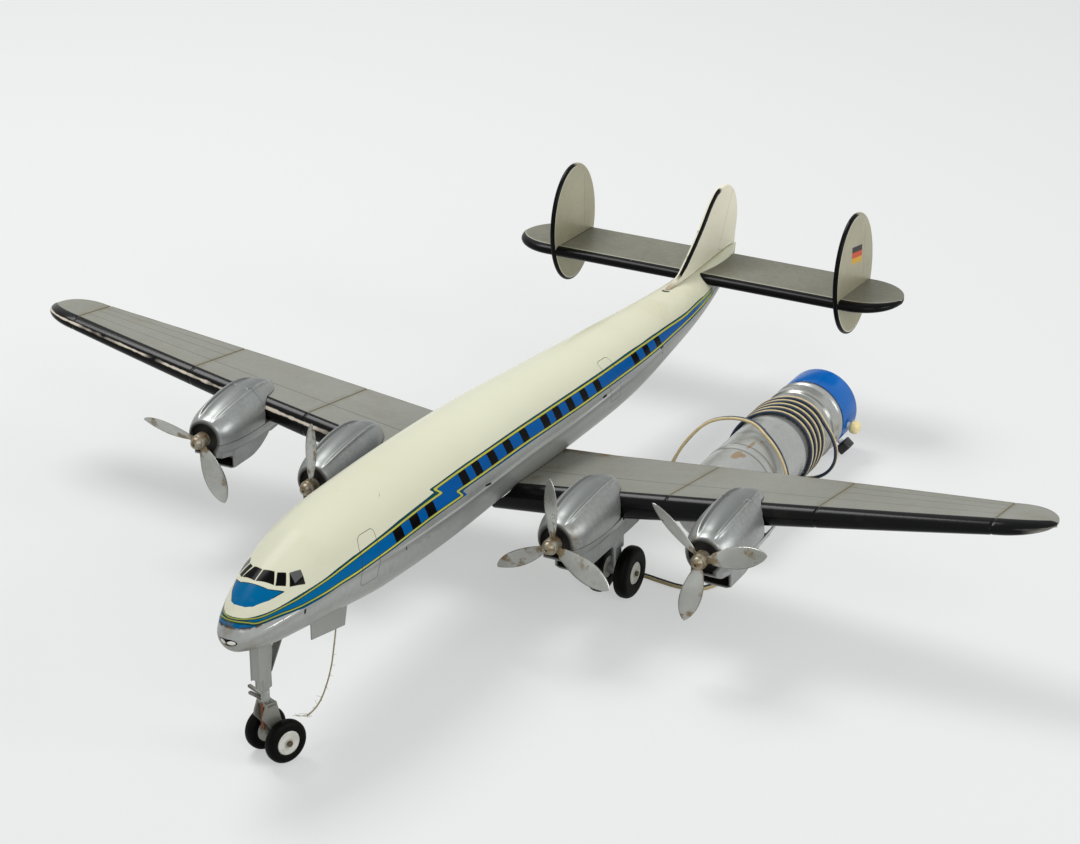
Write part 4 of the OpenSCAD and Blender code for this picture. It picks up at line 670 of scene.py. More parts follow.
# the outline of a painted reflection on one pane
PANE_GLARE = [(31.9, 56), (36.5, 48.7), (35.8, 40.7), (30.8, 40), (31.5, 50)]
NOSE_PATCH = [(19.9, 95), (20.2, 75), (20.8, 62), (22.3, 53.3), (25, 41.3), (21.5, 44.3), (18, 47.3),
              (15.4, 53.3), (11.9, 62), (10.2, 75), (9.8, 95)]
# tab slots: station, angle, half length, half height, lean
SLOTS = [(31.4, -4.5, 0.6, 1.5, 0), (96, -2.5, 0.55, 1.0, 0), (164.2, 2.8, 2.7, 0.45, -0.12),
         (281.7, 5.4, 2.2, 0.65, 0), (351, 7.3, 2.0, 0.55, 0), (351.5, -2.5, 0.5, 1.2, 0)]
# the fold of the two shells: station, angle
RIDGE = [(80, 2.5), (150, 1.4), (190, 0.5), (240, 0), (260, 1.5), (280, 3), (300, 5.5), (330, 5.5)]
SCRATCHES = [((54, -17), (60, -25)), ((59, -14.5), (62, -19)), ((101, -4.5), (119, -7.5)),
             ((363.5, 50), (366.5, 34)), ((93.5, 56), (97.5, 64))]


def along_body(s):
    """Distance along the surface from the nose's tip"""
    t = np.concatenate([np.linspace(0, 8, 161), np.linspace(8.5, OL, 930)])
    return np.interp(s, t, np.concatenate([[0], np.cumsum(np.hypot(np.diff(t), np.diff(b_r(t))))]))


def chart(points):
    """Station and angle to distance along the surface and angle"""
    p = np.array(points, float)
    return np.column_stack([along_body(p[:, 0]), p[:, 1]])


def line_sdf(T, A, k, parts):
    """Distance (mm) from a line of the print, positive on its lower side"""
    pts = np.concatenate([catmull(chart(q), 4) for q in parts])
    d = np.full(T.shape, REACH)
    for a, b in zip(pts[:-1], pts[1:]):
        n = (T > min(a[0], b[0]) - REACH) & (T < max(a[0], b[0]) + REACH)
        d[n] = np.minimum(d[n], stretch_sdf(T[n], A[n], a, b, k[n]))
    over = within(T, A, np.concatenate([pts, [(pts[-1, 0], 200), (pts[0, 0], 200)]]))
    return np.where(over, -d, d)


def patch_sdf(T, A, k, *outlines):
    """Distance (mm), positive inside closed outlines on the body"""
    best = -REACH
    for p in map(chart, outlines):
        d = REACH
        for a, b in zip(p, np.roll(p, -1, 0)):
            d = np.minimum(d, stretch_sdf(T, A, a, b, k))
        best = np.maximum(best, np.where(within(T, A, p), d, -d))
    return best


def body_attrs(S, A, X, Z):
    """S station, A angle above the horizontal on either side, X and Z across the nose"""
    k = b_r(S) * PI / 180
    T = along_body(S)
    win, slots, scratch = -REACH, -REACH, REACH
    for s0, s1, a0, a1 in WINDOWS:
        u = S + (A - (a0 + a1) / 2) * 0.05
        box = rect_sdf(u, A * k, s0 - 0.4, s1 + 0.4, (a0 - 1.2) * k, (a1 + 1.2) * k, 0.5)
        win = np.maximum(win, box)
    for s0, a0, hs, ha, lean in SLOTS:
        u = S - s0
        v = (A - a0) * k - lean * u
        hole = 1 - np.hypot(u / hs, v / ha) if hs < 1 else rect_sdf(u, v, -hs, hs, -ha, ha, ha * 0.9)
        slots = np.maximum(slots, hole)
    for a, b in SCRATCHES:
        scratch = np.minimum(scratch, stretch_sdf(S, A, a, b, k))

    def bulb(x, rx, rz):
        return np.where(S < 6, 1 - np.hypot((X - x) / rx, (Z - NOSE_Z + 0.8) / rz), -3)

    return dict(st=S, an=A, cream=line_sdf(T, A, k, CREAM_EDGE), yel1=line_sdf(T, A, k, UPPER_YELLOW),
                yel2=-line_sdf(T, A, k, LOWER_YELLOW), silver=-line_sdf(T, A, k, SILVER_EDGE), win=win,
                door=patch_sdf(T, A, k, FRONT_DOOR, REAR_DOOR), pane=patch_sdf(T, A, k, *PANES),
                glint=patch_sdf(T, A, k, PANE_GLARE), patch=patch_sdf(T, A, k, NOSE_PATCH), slots=slots,
                scratch=scratch, ridge=(A - np.interp(S, *np.array(RIDGE, float).T)) * k,
                lamp=bulb(-0.15, 4.1, 1.7), bulb=np.maximum(bulb(-2.1, 1.6, 0.95), bulb(1.8, 1.6, 0.95)))


def body_half(name, a0, a1, mat):
    """One shell of the body from angle a0 to a1, with the bulge of its crimped edge"""
    st = np.unique(np.concatenate([np.linspace(0, 1, 8), np.linspace(1, 6, 22), np.linspace(6, 40, 90),
                                   np.linspace(40, 460, 560), np.linspace(460, OL - 0.05, 20)]))
    S, AA = np.meshgrid(st, np.linspace(a0, a1, 151), indexing="ij")
    r, c, th = b_r(S), b_c(S), np.radians(AA)
    e = np.minimum(AA - a0, a1 - AA) * r * PI / 180
    bulge = np.clip((1.15 - e) / 0.35, 0, 1) * np.clip((S - 6) / 10, 0, 1) * np.clip((468 - S) / 10, 0, 1)
    R = r + (CRIMP * bulge if a1 < 181 else 0)
    P = np.stack([R * np.cos(th), ys(S), c + R * np.sin(th)], -1)
    ri = np.maximum(0.1, r - TIN)
    aft, fore = TIN * np.clip(1 - S / 20, 0, 1), TIN * np.clip((S - OL * 0.93) / 30, 0, 1)
    Q = np.stack([ri * np.cos(th), ys(S) + aft - fore, c + ri * np.sin(th)], -1)
    A = np.degrees(np.arcsin(np.clip(np.sin(th), -1, 1)))
    return sheet(name, P, Q, mat, body_attrs(S, A, P[..., 0], P[..., 2]), sharp=30)


def livery(name):
    g = Mat(name)
    st, an = g.attr("st"), g.attr("an")
    d0, dl, y1, y2 = g.attr("cream"), g.attr("silver"), g.attr("yel1"), g.attr("yel2")
    fade = g.noise(9, 4, 0.55)
    # cream above, silver below
    cream = g.mix(g.step(fade, 0.35, 0.7), CREAM, lin(202, 201, 178))
    yellowed = g.cloud(0.55, 0.8, 26, 5, 0.65)
    cream = g.mix(yellowed * 0.3, cream, lin(192, 187, 152))
    rear = g.step(st, 330, 400) * g.cloud(0.5, 0.72, 34, 5, 0.66) * g.step(an, 20, 50)
    cream = g.mix(rear * 0.45, cream, lin(180, 168, 130))
    # painted shade: the silver darker towards the underside
    under = g.step(an, -8, -60)
    silver = g.mix(g.step(fade, 0.35, 0.7), lin(168, 170, 168), lin(148, 150, 147))
    silver = g.mix(under * 0.6, silver, lin(128, 127, 116))
    silver = g.blot(silver, (112, 100, 74), 0.35, 0.6, 0.78, 60, 6, 0.7)
    silver = g.blot(silver, (206, 208, 206), 0.12, 0.4, 0.8, 500, 2)
    above = g.step(d0, 0.03, -0.03)
    base = g.mix(above, silver, cream)
    inband = g.step(d0, -0.03, 0.03) * g.step(dl, -0.03, 0.03)
    tail = g.step(st, 424, 421)
    inband = inband * tail
    blue = g.tones((0, 86, 156), (0, 76, 142), 0.3, 0.7, 18, 3)
    blue = g.mix(g.step(st, 120, 30), blue, lin(0, 94, 142))
    blue = g.mix(g.step(st, 398, 420), blue, lin(84, 140, 156))
    green = g.tones((12, 58, 66), (20, 74, 84), 0.3, 0.7, 30, 3)
    between = g.step(g.least(y1, y2), 0.61, 0.67)
    lens = g.step(y2, -0.95, -1.02)
    col = g.mix(inband, base, green)
    col = g.mix(inband * g.most(between, lens), col, blue)
    wide = g.mixf(g.step(st, 24, 100), 0.24, 0.4)
    yel = g.step(g.least(y1.abs(), y2.abs()) - wide, 0.035, -0.035) * inband
    gold = g.tones((192, 184, 70), (168, 164, 70), 0.4, 0.7, 24, 4)
    gold = g.mix(g.step(st, 40, 16) * 0.7, gold, lin(122, 132, 62))
    col = g.mix(yel, col, gold)
    # fold of the two shells, with a painted highlight along it
    ridge = g.attr("ridge")
    fold_highlight = g.step(ridge.abs(), 0.5, 0.15) * g.step(st, 84, 96) * g.step(st, 316, 300)
    col = g.mix(fold_highlight * 0.45, col, lin(222, 224, 224))
    col = g.mix(g.step(g.attr("win"), -0.04, 0.04) * g.step(g.least(y1, y2), 0.5, 0.56), col, lin(5, 5, 6))
    patch = g.step(g.attr("patch"), -0.04, 0.04)
    rim = g.line(g.attr("patch"), 0.16, 0.05) * g.step(st, 19, 20)
    col = g.mix(patch, col, blue)
    col = g.mix(rim, col, lin(20, 36, 48))
    pane = g.step(g.attr("pane"), -0.04, 0.04)
    # black panes, with a painted reflection inside the glint outline
    glass = g.mix(g.step(g.attr("glint"), -0.1, 0.1) * 0.8, lin(10, 10, 10), lin(96, 98, 98))
    col = g.mix(pane, col, glass)
    col = g.mix(g.line(g.attr("pane"), 0.1, 0.05) * 0.5, col, lin(120, 112, 92))
    doors = g.line(g.attr("door"), 0.14, 0.05)
    col = g.mix(doors * 0.85, col, lin(46, 46, 42))
    col = g.mix(g.step(g.attr("lamp"), -0.02, 0.02), col, lin(14, 14, 14))
    col = g.mix(g.step(g.attr("bulb"), -0.03, 0.03), col, lin(226, 226, 218))
    rusty = g.step(dl.abs(), 0.8, 0.25) * g.step(st, 16, 9) * g.cloud(0.38, 0.5, 150, 5, 0.7)
    col = g.mix(rusty * 0.85, col, lin(62, 42, 26))
    tip = g.step(st, 15, 5) * g.cloud(0.5, 0.66, 120, 5, 0.7)
    col = g.mix(tip * 0.45, col, lin(128, 108, 70))
    # the tab slots painted black: painted shade in their openings
    slots = g.step(g.attr("slots"), -0.05, 0.1)
    col = g.mix(slots, col, lin(8, 8, 8))
    # wear: chips, scratches along the body, dirt by the seam
    v = g.scaled(g.pos(), (1.0, 0.25, 1.0))
    scr = g.cloud(0.735, 0.77, 170, 5, 0.7, v) * g.cloud(0.52, 0.62, 12, 2)
    chips = g.step(g.cells(190), 0.045, 0.028) * g.cloud(0.54, 0.63, 22, 3)
    col = g.mix(g.most(scr * 0.4, chips * 0.75), col, lin(58, 50, 38))
    col = g.mix(g.step(g.attr("scratch"), 0.2, 0.08) * 0.85, col, lin(84, 72, 52))
    dirt = g.step(ridge + g.noise(70, 4, 0.6) * 1.2, -0.1, -0.5) * g.step(ridge, -3.5, -1.5)
    col = g.mix(dirt * 0.22, col, lin(96, 84, 58))
    g.bump(g.noise(600, 2), 0.03)
    bare = g.step(dl, 0.02, -0.02)
    col = g.mix(g.attr("inside"), col, lin(120, 114, 92))
    return g.finish(col, g.mixf(bare, 0.2, 0.3), bare * 0.5, 0.03)


for word, a0, a1, slot, paint in (("upper", 0, 180, "cream_tin", "cream_tin"),
                                  ("lower", 180.6, 359.4, "silver_tin", "body_silver_tin")):
    ob = body_half(word + "_body_print", a0, a1, livery(paint))
    dress(ob, "airliner", slot, word + "_body_shell")

# Wings
WLE, RC, WZ, DH = 192.5, 65.7, 50.3, 0.123      # root: leading edge, chord, height; rise along the span
ROOT_X, HALF, TIPR, RX = 20.0, 255.0, 21.0, 234.0       # root, half span, round tip and where it begins
NB, FALL, TET, FG = 6.1, 0.161, 1.25, 0.3       # round edge, slope, trailing edge, gap between sheets


def tip_f(x):
    """Share of the full chord left in the rounded tip"""
    return np.where(x <= RX, 1.0, np.sqrt(np.maximum(0.004, 1 - ((x - RX) / TIPR) ** 2)))


def mid_half(x):
    """Middle and half length of the chord at x"""
    q = np.minimum(x, RX)
    le = WLE + 0.06 * (q - ROOT_X) + 0.00021 * (q - ROOT_X) ** 2
    te = WLE + RC - 0.02 * (q - ROOT_X) - 0.00017 * (q - ROOT_X) ** 2
    return (le + te) / 2 + 0.1 * np.maximum(0, x - RX), (te - le) / 2 * tip_f(x)


def w_le(x):
    mid, half = mid_half(x)
    return mid - half


def w_te(x):
    mid, half = mid_half(x)
    return mid + half


def w_band(x):
    return np.minimum(NB, 0.8 * mid_half(x)[1])


def w_thick(x):
    """Height of the round leading edge"""
    taper = 14.2 + (6.8 - 14.2) * (np.minimum(x, RX) - ROOT_X) / (RX - ROOT_X)
    return np.maximum(2 * TIN + 0.8, taper * tip_f(x))


def w_plane(x, s):
    return WZ + DH * x - FALL * (s - 200.0) - 3.4 * (1 - tip_f(x))


def w_face(x, s, sign):
    """Height of the upper (1) or the lower (-1) face"""
    a, h = w_le(x) + w_band(x), w_thick(x) / 2
    q = np.sqrt(np.maximum(0, 1 - ((a - s) / w_band(x)) ** 2))
    t = np.clip((s - a) / np.maximum(0.1, w_te(x) - a), 0, 1)
    down = 0 if sign > 0 else w_thick(x) + (TET - w_thick(x)) * t
    return np.where(s >= a, w_plane(x, s) - down, w_plane(x, a) - h + sign * h * q)


def half_w(s, z):
    """Half width of the body at a station and height"""
    return np.sqrt(np.maximum(0.01, b_r(s) ** 2 - (z - b_c(s)) ** 2))


def skin(name, side, mat, rows, section, sharp):
    """A folded skin from section(x, first, inset): x, stations, heights and marks of its points"""
    made = [[section(x, x == rows[0], inset) for x in rows] for inset in (0.0, TIN)]
    outer, inner = [[np.stack([side * x, ys(s), z], -1) for x, s, z, _ in m] for m in made]
    at = {k: np.array([r[3][k] for r in made[0]]) for k in made[0][0][3]}
    return sheet(name, outer, inner, mat, at, flip=side > 0, sharp=sharp)


# x of the grooves pressed into the wings
GROOVES = (91.6, 158.0, 232.0)
NTOP, NEDGE = 46, 30        # points on the upper side and round the leading edge


def wing_section(x, first, inset):
    """From the trailing edge over the top and round the leading edge, with the grooves pressed in"""
    xx = np.float64(x if first or not inset else ROOT_X + (x - ROOT_X) * (1 - 2 * TIN / (HALF - ROOT_X)))
    a, b, h = w_le(xx) + w_band(xx), w_te(xx), w_thick(xx) / 2
    st = a + (b - a) * np.linspace(1, 1.0 / NTOP, NTOP)
    th = np.radians(90 - 180 * np.arange(NEDGE + 1) / NEDGE)
    s = np.concatenate([st, a - (w_band(xx) - inset) * np.cos(th)])
    z = np.concatenate([w_plane(xx, st) - inset, w_plane(xx, a) - h + (h - inset) * np.sin(th)])
    dip = 0 if first or inset else 0.22 * sum(np.exp(-((x - g) / 0.5) ** 2) for g in GROOVES)
    z = z - dip * np.concatenate([np.ones(NTOP), np.sin(th)])
    xs = half_w(s, np.maximum(z, b_c(s) - b_r(s) + 2.0)) + FG if first else np.full(s.shape, xx)
    marks = {"wx": xs, "te": b - s, "tip": np.full(s.shape, x - RX)}
    marks["wf"] = (s - w_le(xx)) / np.maximum(1, 2 * mid_half(xx)[1])
    marks["blk"] = np.concatenate([a - st, (PI / 2 - th) * (h + w_band(xx)) / 2])
    marks["we"] = np.concatenate([np.full(NTOP, 90.0), np.degrees(th)])
    return xs, s + dip * np.concatenate([np.zeros(NTOP), np.cos(th)]), z, marks


def wing_paint(name, worn_and_lit):
    g = Mat(name)
    wx, wf, blk, we = g.attr("wx"), g.attr("wf"), g.attr("blk"), g.attr("we")
    big = g.noise(11, 4, 0.6)
    fine = g.noise(500, 3, 0.6)
    c = g.mix(g.step(big, 0.3, 0.72), OLIVE, lin(126, 126, 116))
    c = g.blot(c, (118, 108, 82), 0.35, 0.55, 0.8, 48, 5, 0.62)
    c = g.mix(g.step(fine, 0.4, 0.8) * 0.1, c, lin(190, 190, 182))
    near = g.least(*((wx - x).abs() for x in GROOVES))
    c = g.mix(g.step(near, 0.62, 0.3) * 0.85, c, lin(88, 78, 50))
    # thin printed lines along the span
    inner = (1 - g.step(wx, 157.9, 158.1)) * 9
    dl = g.least((wf - 0.42).abs(), (wf - 0.66).abs() + inner, (wf - 0.84).abs() + inner)
    ln = g.step(dl, 0.006, 0.003) * g.step(wx, 231.5, 231.0) * g.step(wf, 0.1, 0.12)
    c = g.mix(ln * 0.75, c, lin(58, 56, 46))
    # brown grime by the body, the engines' ends and the grooves
    grime = g.step(g.noise(90, 5, 0.7) - g.step(wx, 24, 42) * 0.2, 0.52, 0.7) * g.step(wx, 60, 26)
    c = g.mix(grime * 0.7, c, lin(104, 92, 60))
    c = g.mix(g.step(near + g.noise(120, 4, 0.65) * 9, 7.5, 3.5) * 0.35, c, lin(98, 88, 58))
    edge = g.step(g.attr("te"), 1.3, 0.3) * g.cloud(0.42, 0.6, 120, 4)
    if not worn_and_lit:
        corner = g.step(g.attr("te"), 7, 2) * g.step(wx, 46, 36) * g.cloud(0.42, 0.55, 150, 4, 0.65)
        c = g.mix(corner * 0.8, c, lin(112, 88, 50))
    c = g.mix(edge * 0.5, c, lin(70, 60, 40))
    b = g.step(blk, -0.3, -0.05)
    bl = g.mix(g.cloud(0.6, 0.8, 70, 5, 0.6) * 0.3, BLACK, lin(52, 50, 44))
    # a pale streak along the black leading edge: a painted highlight on both wings, with real wear added on
    # the starboard one
    wear_and_highlight = g.step((we - (30 if worn_and_lit else 14)).abs() + g.noise(150, 4, 0.6) * 16, 17 if worn_and_lit else 9.5,
                  12 if worn_and_lit else 6.5) * g.step(wx, 34, 60)
    wear_and_highlight = wear_and_highlight * g.step(g.noise(38, 3), 0.32 if worn_and_lit else 0.6, 0.44 if worn_and_lit else 0.66)
    bl = g.mix(wear_and_highlight * (0.95 if worn_and_lit else 0.35), bl, lin(214, 204, 188))
    tipwear = g.step(g.attr("tip") + g.noise(60, 3) * 16, 20, 25) * g.step(we, 30, -10)
    bl = g.mix(tipwear * 0.7, bl, lin(150, 148, 138))
    c = g.mix(b, c, bl)
    metal = (1 - b) * 0.35
    rough = g.mixf(b, g.mixf(g.step(big, 0.3, 0.7), 0.36, 0.48), 0.2)
    g.bump(g.noise(800, 2, 0.5), 0.05)
    c = g.mix(g.attr("inside"), c, lin(120, 114, 92))
    return g.finish(c, rough, metal, 0.12)


wing_rows = np.unique(np.concatenate([np.linspace(40, RX, 130),
                                      RX + TIPR * np.sin(np.linspace(0, PI / 2, 26))]
                                     + [g + np.linspace(-1.5, 1.5, 13) for g in GROOVES]))
for side, word in SIDES:
    paint = wing_paint("grey_tin_" + word, side < 0)
    ob = skin(word + "_wing_tin", side, paint, [ROOT_X, *wing_rows], wing_section, 32)
    dress(ob, "airliner", "grey_tin", word + "_wing_upper_skin")

# Engines
CL = 63.0       # length of a cowl, and half its width
CHW = 13.3
TOPR = np.array([(0.1397, 0.571, 0.5714), (0.1524, 0.66, 0.6617), (0.1905, 0.76, 0.7444),
                 (0.2698, 0.88, 0.8872), (0.381, 0.96, 1.0075), (0.5238, 1, 1.0977), (0.6349, 0.98, 1.1278),
                 (0.7302, 0.93, 1.1128), (0.8254, 0.8, 1.0226), (0.9206, 0.6, 0.8421), (1, 0.32, 0.5564)])
LOWR = np.array([(0.1397, 0.571, 0.5714), (0.1524, 0.66, 0.6617), (0.1905, 0.76, 0.7444),
                 (0.2667, 0.88, 0.8271), (0.3492, 0.95, 0.9023), (0.4762, 1, 0.9398), (0.6349, 1, 0.9624),
                 (0.7937, 0.96, 0.9474), (0.9206, 0.92, 0.9), (1.2, 0.85, 0.84), (1.3, 0.78, 0.74),
                 (1.4, 0.66, 0.6)])
for T in (TOPR, LOWR):
    T[:, 0] *= CL
    T[:, 1] *= CHW
    T[:, 2] *= CHW
# axis x, station and height, end of the lower half, where its scoop starts to rise and where it ends
ENG = {"outer": (124.8, 159.2, 55.4, 0.984 * CL, 0.54 * CL, 0.825 * CL),
       "inner": (60.3, 149.2, 51.3, 1.4 * CL, 1.22 * CL, 1.4 * CL)}
SEAM = -2.0         # height of the seam under the axis
SC0, SCD, SCW = 0.349 * CL, 19.5, 14.0      # the scoop's mouth, depth and width
BAY = (0.62 * CL, 1.27 * CL, 5.9)           # the bay over the main wheels: from, to, half width


def smooth_row(T, a, k):
    """Rounder than straight lines from row to row, and through the same rows"""
    i0 = 1 if a > T[1, 0] else 0
    return float(along(T[i0:], np.clip(a, T[i0, 0], T[-1, 0]), k))


def le_side(e, x):
    """The wing's leading edge beside the engine, behind the cowl's mouth"""
    return min(w_le(e[0] + x), w_le(e[0] + 0.7 * x)) - e[1]


def wing_z(e, x, a, sign):
    """Height over the engine's axis of the wing's upper (1) or lower (-1) face"""
    xs = [np.float64(e[0] + f * x) for f in (1, 0.7)]
    return sign * max(sign * float(w_face(v, np.float64(max(e[1] + a, w_le(v) + 0.25)), sign))
                      for v in xs) - e[2]


def seam_ends(e, a, w, sign):
    """Height of a half's two edges, lifted clear of the wing behind its leading edge"""
    flat = SEAM if sign > 0 else SEAM - 0.25
    ends = []
    for x in (w, -w):
        k = np.clip((a - le_side(e, x) + 1.1) / 0.75, 0, 1)
        ends.append(flat + (sign * max(sign * flat, sign * wing_z(e, x, a, sign) + FG) - flat) * k)
    return ends


def top_ring(e, a, inset, m):
    """One row of an upper half, and its angles"""
    w, t = smooth_row(TOPR, a, 1) - inset, smooth_row(TOPR, a, 2)
    if a >= le_side(e, 0) - 0.55:
        t = max(t, wing_z(e, 0, a, 1) + FG + 2 * TIN + 0.3)
    t -= inset
    a0, a1 = [math.asin(min(0.96, max(-0.9, z / t))) for z in seam_ends(e, a, w, 1)]
    th = np.linspace(a0, PI - a1, m)
    deg = np.degrees(th)
    # flat panel between two soft creases along the top
    dev = abs(deg - 90)
    k = np.clip((a - 9.5) / 5, 0, 1) * np.clip((58 - a) / 8, 0, 1)
    rib = 0.6 * np.exp(-((dev - 28) / 3.4) ** 2) - np.clip(1 - (dev / 25) ** 10, 0, 1)
    rr = 1 + k * rib / 13
    return np.stack([e[0] + w * np.cos(th) * rr, np.full(m, ys(e[1] + a)), e[2] + t * np.sin(th) * rr],
                    -1), deg


def low_ring(e, a, inset, m):
    """One row of a lower half, with its scoop"""
    w, d = smooth_row(LOWR, a, 1) - inset, smooth_row(LOWR, a, 2)
    if a >= le_side(e, 0) - 0.55:
        d = max(d, 2 * TIN + 0.8 - wing_z(e, 0, a, -1))
    d -= inset
    ends = seam_ends(e, a, w, -1)
    xp, xs = [w * math.sqrt(1 - min(0, max(-0.97, z / d)) ** 2) for z in ends]
    c = min(SCW / 2, 0.72 * min(xp, xs)) - inset
    sc = 0
    if SC0 + inset <= a <= e[5]:
        dd = max(smooth_row(LOWR, e[5], 2), 2 * TIN + 0.8 - wing_z(e, 0, e[5], -1))
        sc = SCD - (SCD - dd) * max(0, (a - e[4]) / (e[5] - e[4])) ** 2 - inset

    def round_z(x):
        return -d * math.sqrt(max(0, 1 - (x / w) ** 2))

    def flank(reach, low, sign):
        x = [c + 0.15 + (reach - c - 0.15) * math.cos(PI / 2 * i / n1) for i in range(n1)]
        return [(sign * v, min(low, round_z(v))) for v in x]

    n1 = (m - 9) // 2
    floor = []
    for f in np.linspace(1, -1, m - 2 - 2 * n1):
        rnd = 0.9 * (1 - math.sqrt(max(0, 1 - max(0, (abs(f) - 0.82) / 0.18) ** 2))) if sc > d else 0
        floor.append((c * f, min(round_z(c * f), rnd - max(sc, d))))
    lip = c + 0.06
    q = np.array(flank(xp, ends[0], 1) + [(lip, round_z(lip))] + floor + [(-lip, round_z(lip))]
                 + flank(xs, ends[1], -1)[::-1])
    return np.stack([e[0] + q[:, 0], np.full(len(q), ys(e[1] + a)), e[2] + q[:, 1]], -1)


def cowl_rows(e, T, last):
    """Where the rows of a cowl stand: close at the mouth and where the wing's edge enters"""
    enter = [le_side(e, x) for x in (-CHW * 0.97, CHW * 0.97)]
    base = np.concatenate([[T[0, 0], 9.0, 9.25, 9.6, 10.1, 10.8, 11.5, 12.2],
                           np.arange(13, last - 0.4, 1.1), [last]]
                          + [q + np.array([-1.1, -0.6, -0.35, 0.25, 0.6, 0.9, 1.4, 2, 3, 4.2, 6.3])
                             for q in enter])
    base = np.unique(np.round(base[base <= last], 3))
    keep = [base[0]]
    for v in base[1:]:
        if v - keep[-1] > 0.12 or v == last:
            keep.append(v)
    return keep


def flipped(P, side):
    """Points of the port side, mirrored for starboard"""
    Q = np.array(P)
    Q[..., 0] *= side
    return Q


def cowl_paint(name):
    g = Mat(name)
    big = g.noise(26, 4, 0.6)
    c = g.mix(g.step(big, 0.3, 0.72), lin(148, 151, 150), lin(128, 130, 127))
    c = g.blot(c, (206, 208, 208), 0.14, 0.4, 0.8, 520, 3, 0.6)
    lp = g.attr("ca")
    grime = g.cloud(0.56, 0.74, 95, 5, 0.7) * g.step(lp, 20, 9)
    rear = g.cloud(0.52, 0.7, 110, 5, 0.7) * g.step(lp, 50, 62)
    c = g.mix(g.most(grime, rear) * 0.8, c, lin(98, 80, 46))
    c = g.mix(g.step(lp, 9.5, 8.9) * 0.8, c, lin(46, 42, 34))
    # painted shade: the flat top panel darker than the cheeks
    top = g.step((g.attr("cd") - 90).abs(), 27, 24) * g.step(lp, 11, 15) * g.step(lp, 60, 52)
    c = g.mix(top * 0.8, c, lin(104, 107, 105))
    # painted shade: a dark grey line in each crease beside the top panel
    crease = g.line((g.attr("cd") - 90).abs() - 24, 2.0, 1.2) * g.step(lp, 12, 16) * g.step(lp, 58, 50)
    crease = crease * g.step(g.attr("cd"), 1, 4)
    c = g.mix(crease * 0.5, c, lin(70, 70, 66))
    chips = g.step(g.cells(230), 0.05, 0.03) * g.cloud(0.55, 0.65, 34, 3)
    c = g.mix(chips * 0.6, c, lin(70, 58, 40))
    c = g.mix(g.attr("inside"), c, lin(58, 54, 46))
    g.bump(g.noise(900, 2, 0.5), 0.05)
    return g.finish(c, g.mixf(g.step(big, 0.3, 0.7), 0.3, 0.42), 0.55)


M["cowl"] = cowl_paint("silver_tin_cowl")


def cut_sheet(ob, boxes):
    """Cut openings with closed boxes (mm)"""
    for lo, hi in boxes:
        c = box_piece("cutter", lo, hi, M["dark"], 0)
        mod = ob.modifiers.new("cut", "BOOLEAN")
        mod.operation = "DIFFERENCE"
        mod.solver = "EXACT"
        mod.object = c
        me = bpy.data.meshes.new_from_object(ob.evaluated_get(bpy.context.evaluated_depsgraph_get()))
        ob.modifiers.remove(mod)
        spare = [ob.data, c.data]
        ob.data = me
        bpy.data.objects.remove(c)
        for old in spare:
            bpy.data.meshes.remove(old)


for side, word in SIDES:
    for kind, e in ENG.items():
        at = side * e[0]
        rows = cowl_rows(e, TOPR, CL)
        outer = [top_ring(e, a, 0, 161) for a in rows]
        O = flipped([o[0] for o in outer], side)
        marks = {"ca": np.repeat(np.array(rows)[:, None], 161, 1), "cd": np.array([o[1] for o in outer])}
        I = flipped([top_ring(e, a, TIN, 161)[0] for a in rows], side)
        ob = sheet(f"{word}_{kind}_cowl_upper", O, I, M["cowl"], marks, flip=side < 0, sharp=42)
        dress(ob, "airliner", "silver_tin", f"{word}_{kind}_cowl_top")
        rows = cowl_rows(e, LOWR, e[3])
        front, back = [a for a in rows if a < SC0 - 0.5], [a for a in rows if a > SC0 + 1.0]
        lip = [SC0 - 0.1, SC0, SC0 + 0.6]
        O = flipped([low_ring(e, a, 0, 57) for a in front + lip + back], side)
        I = flipped([low_ring(e, a, TIN, 57) for a in front + [a + TIN for a in lip] + back], side)
        ca = np.repeat(np.array(front + lip + back)[:, None], O.shape[1], 1)
        ob = sheet(f"{word}_{kind}_cowl_lower", O, I, M["cowl"], {"ca": ca, "cd": ca * 0}, flip=side > 0,
                   sharp=42)
        # the scoop's mouth, and the bay over the main wheels
        mouth, half, low = ys(e[1] + SC0), SCW / 2 - 1.2, e[2] - SCD
        boxes = [((at - half, mouth - 2, low + 1), (at + half, mouth + 2, low + 5.6))]
        if kind == "inner":
            y0, y1, half = ys(e[1] + BAY[0]), ys(e[1] + BAY[1]), BAY[2]
            boxes.append(((at - half, y0, low - 1), (at + half, y1, low + 11)))
        cut_sheet(ob, boxes)
        dress(ob, "airliner", "silver_tin", f"{word}_{kind}_cowl_bottom")

# Propellers
PITCH = math.radians(27)
# angle of the first blade, blades kept
PROPS = {"port_outer": (137, (0, 1, 2)), "port_inner": (92, (0, 1, 2)), "starboard_inner": (86, (0, 2)),
         "starboard_outer": (172, (0, 1))}
BLADE_ROWS, BLADE_COLS = 40, 15     # points along and across a blade


def blade_half(u):
    """Half width of a blade at share u of its length"""
    return 4.8 * np.sin(PI * (0.1 + 0.9 * u) ** 1.35) ** 0.62


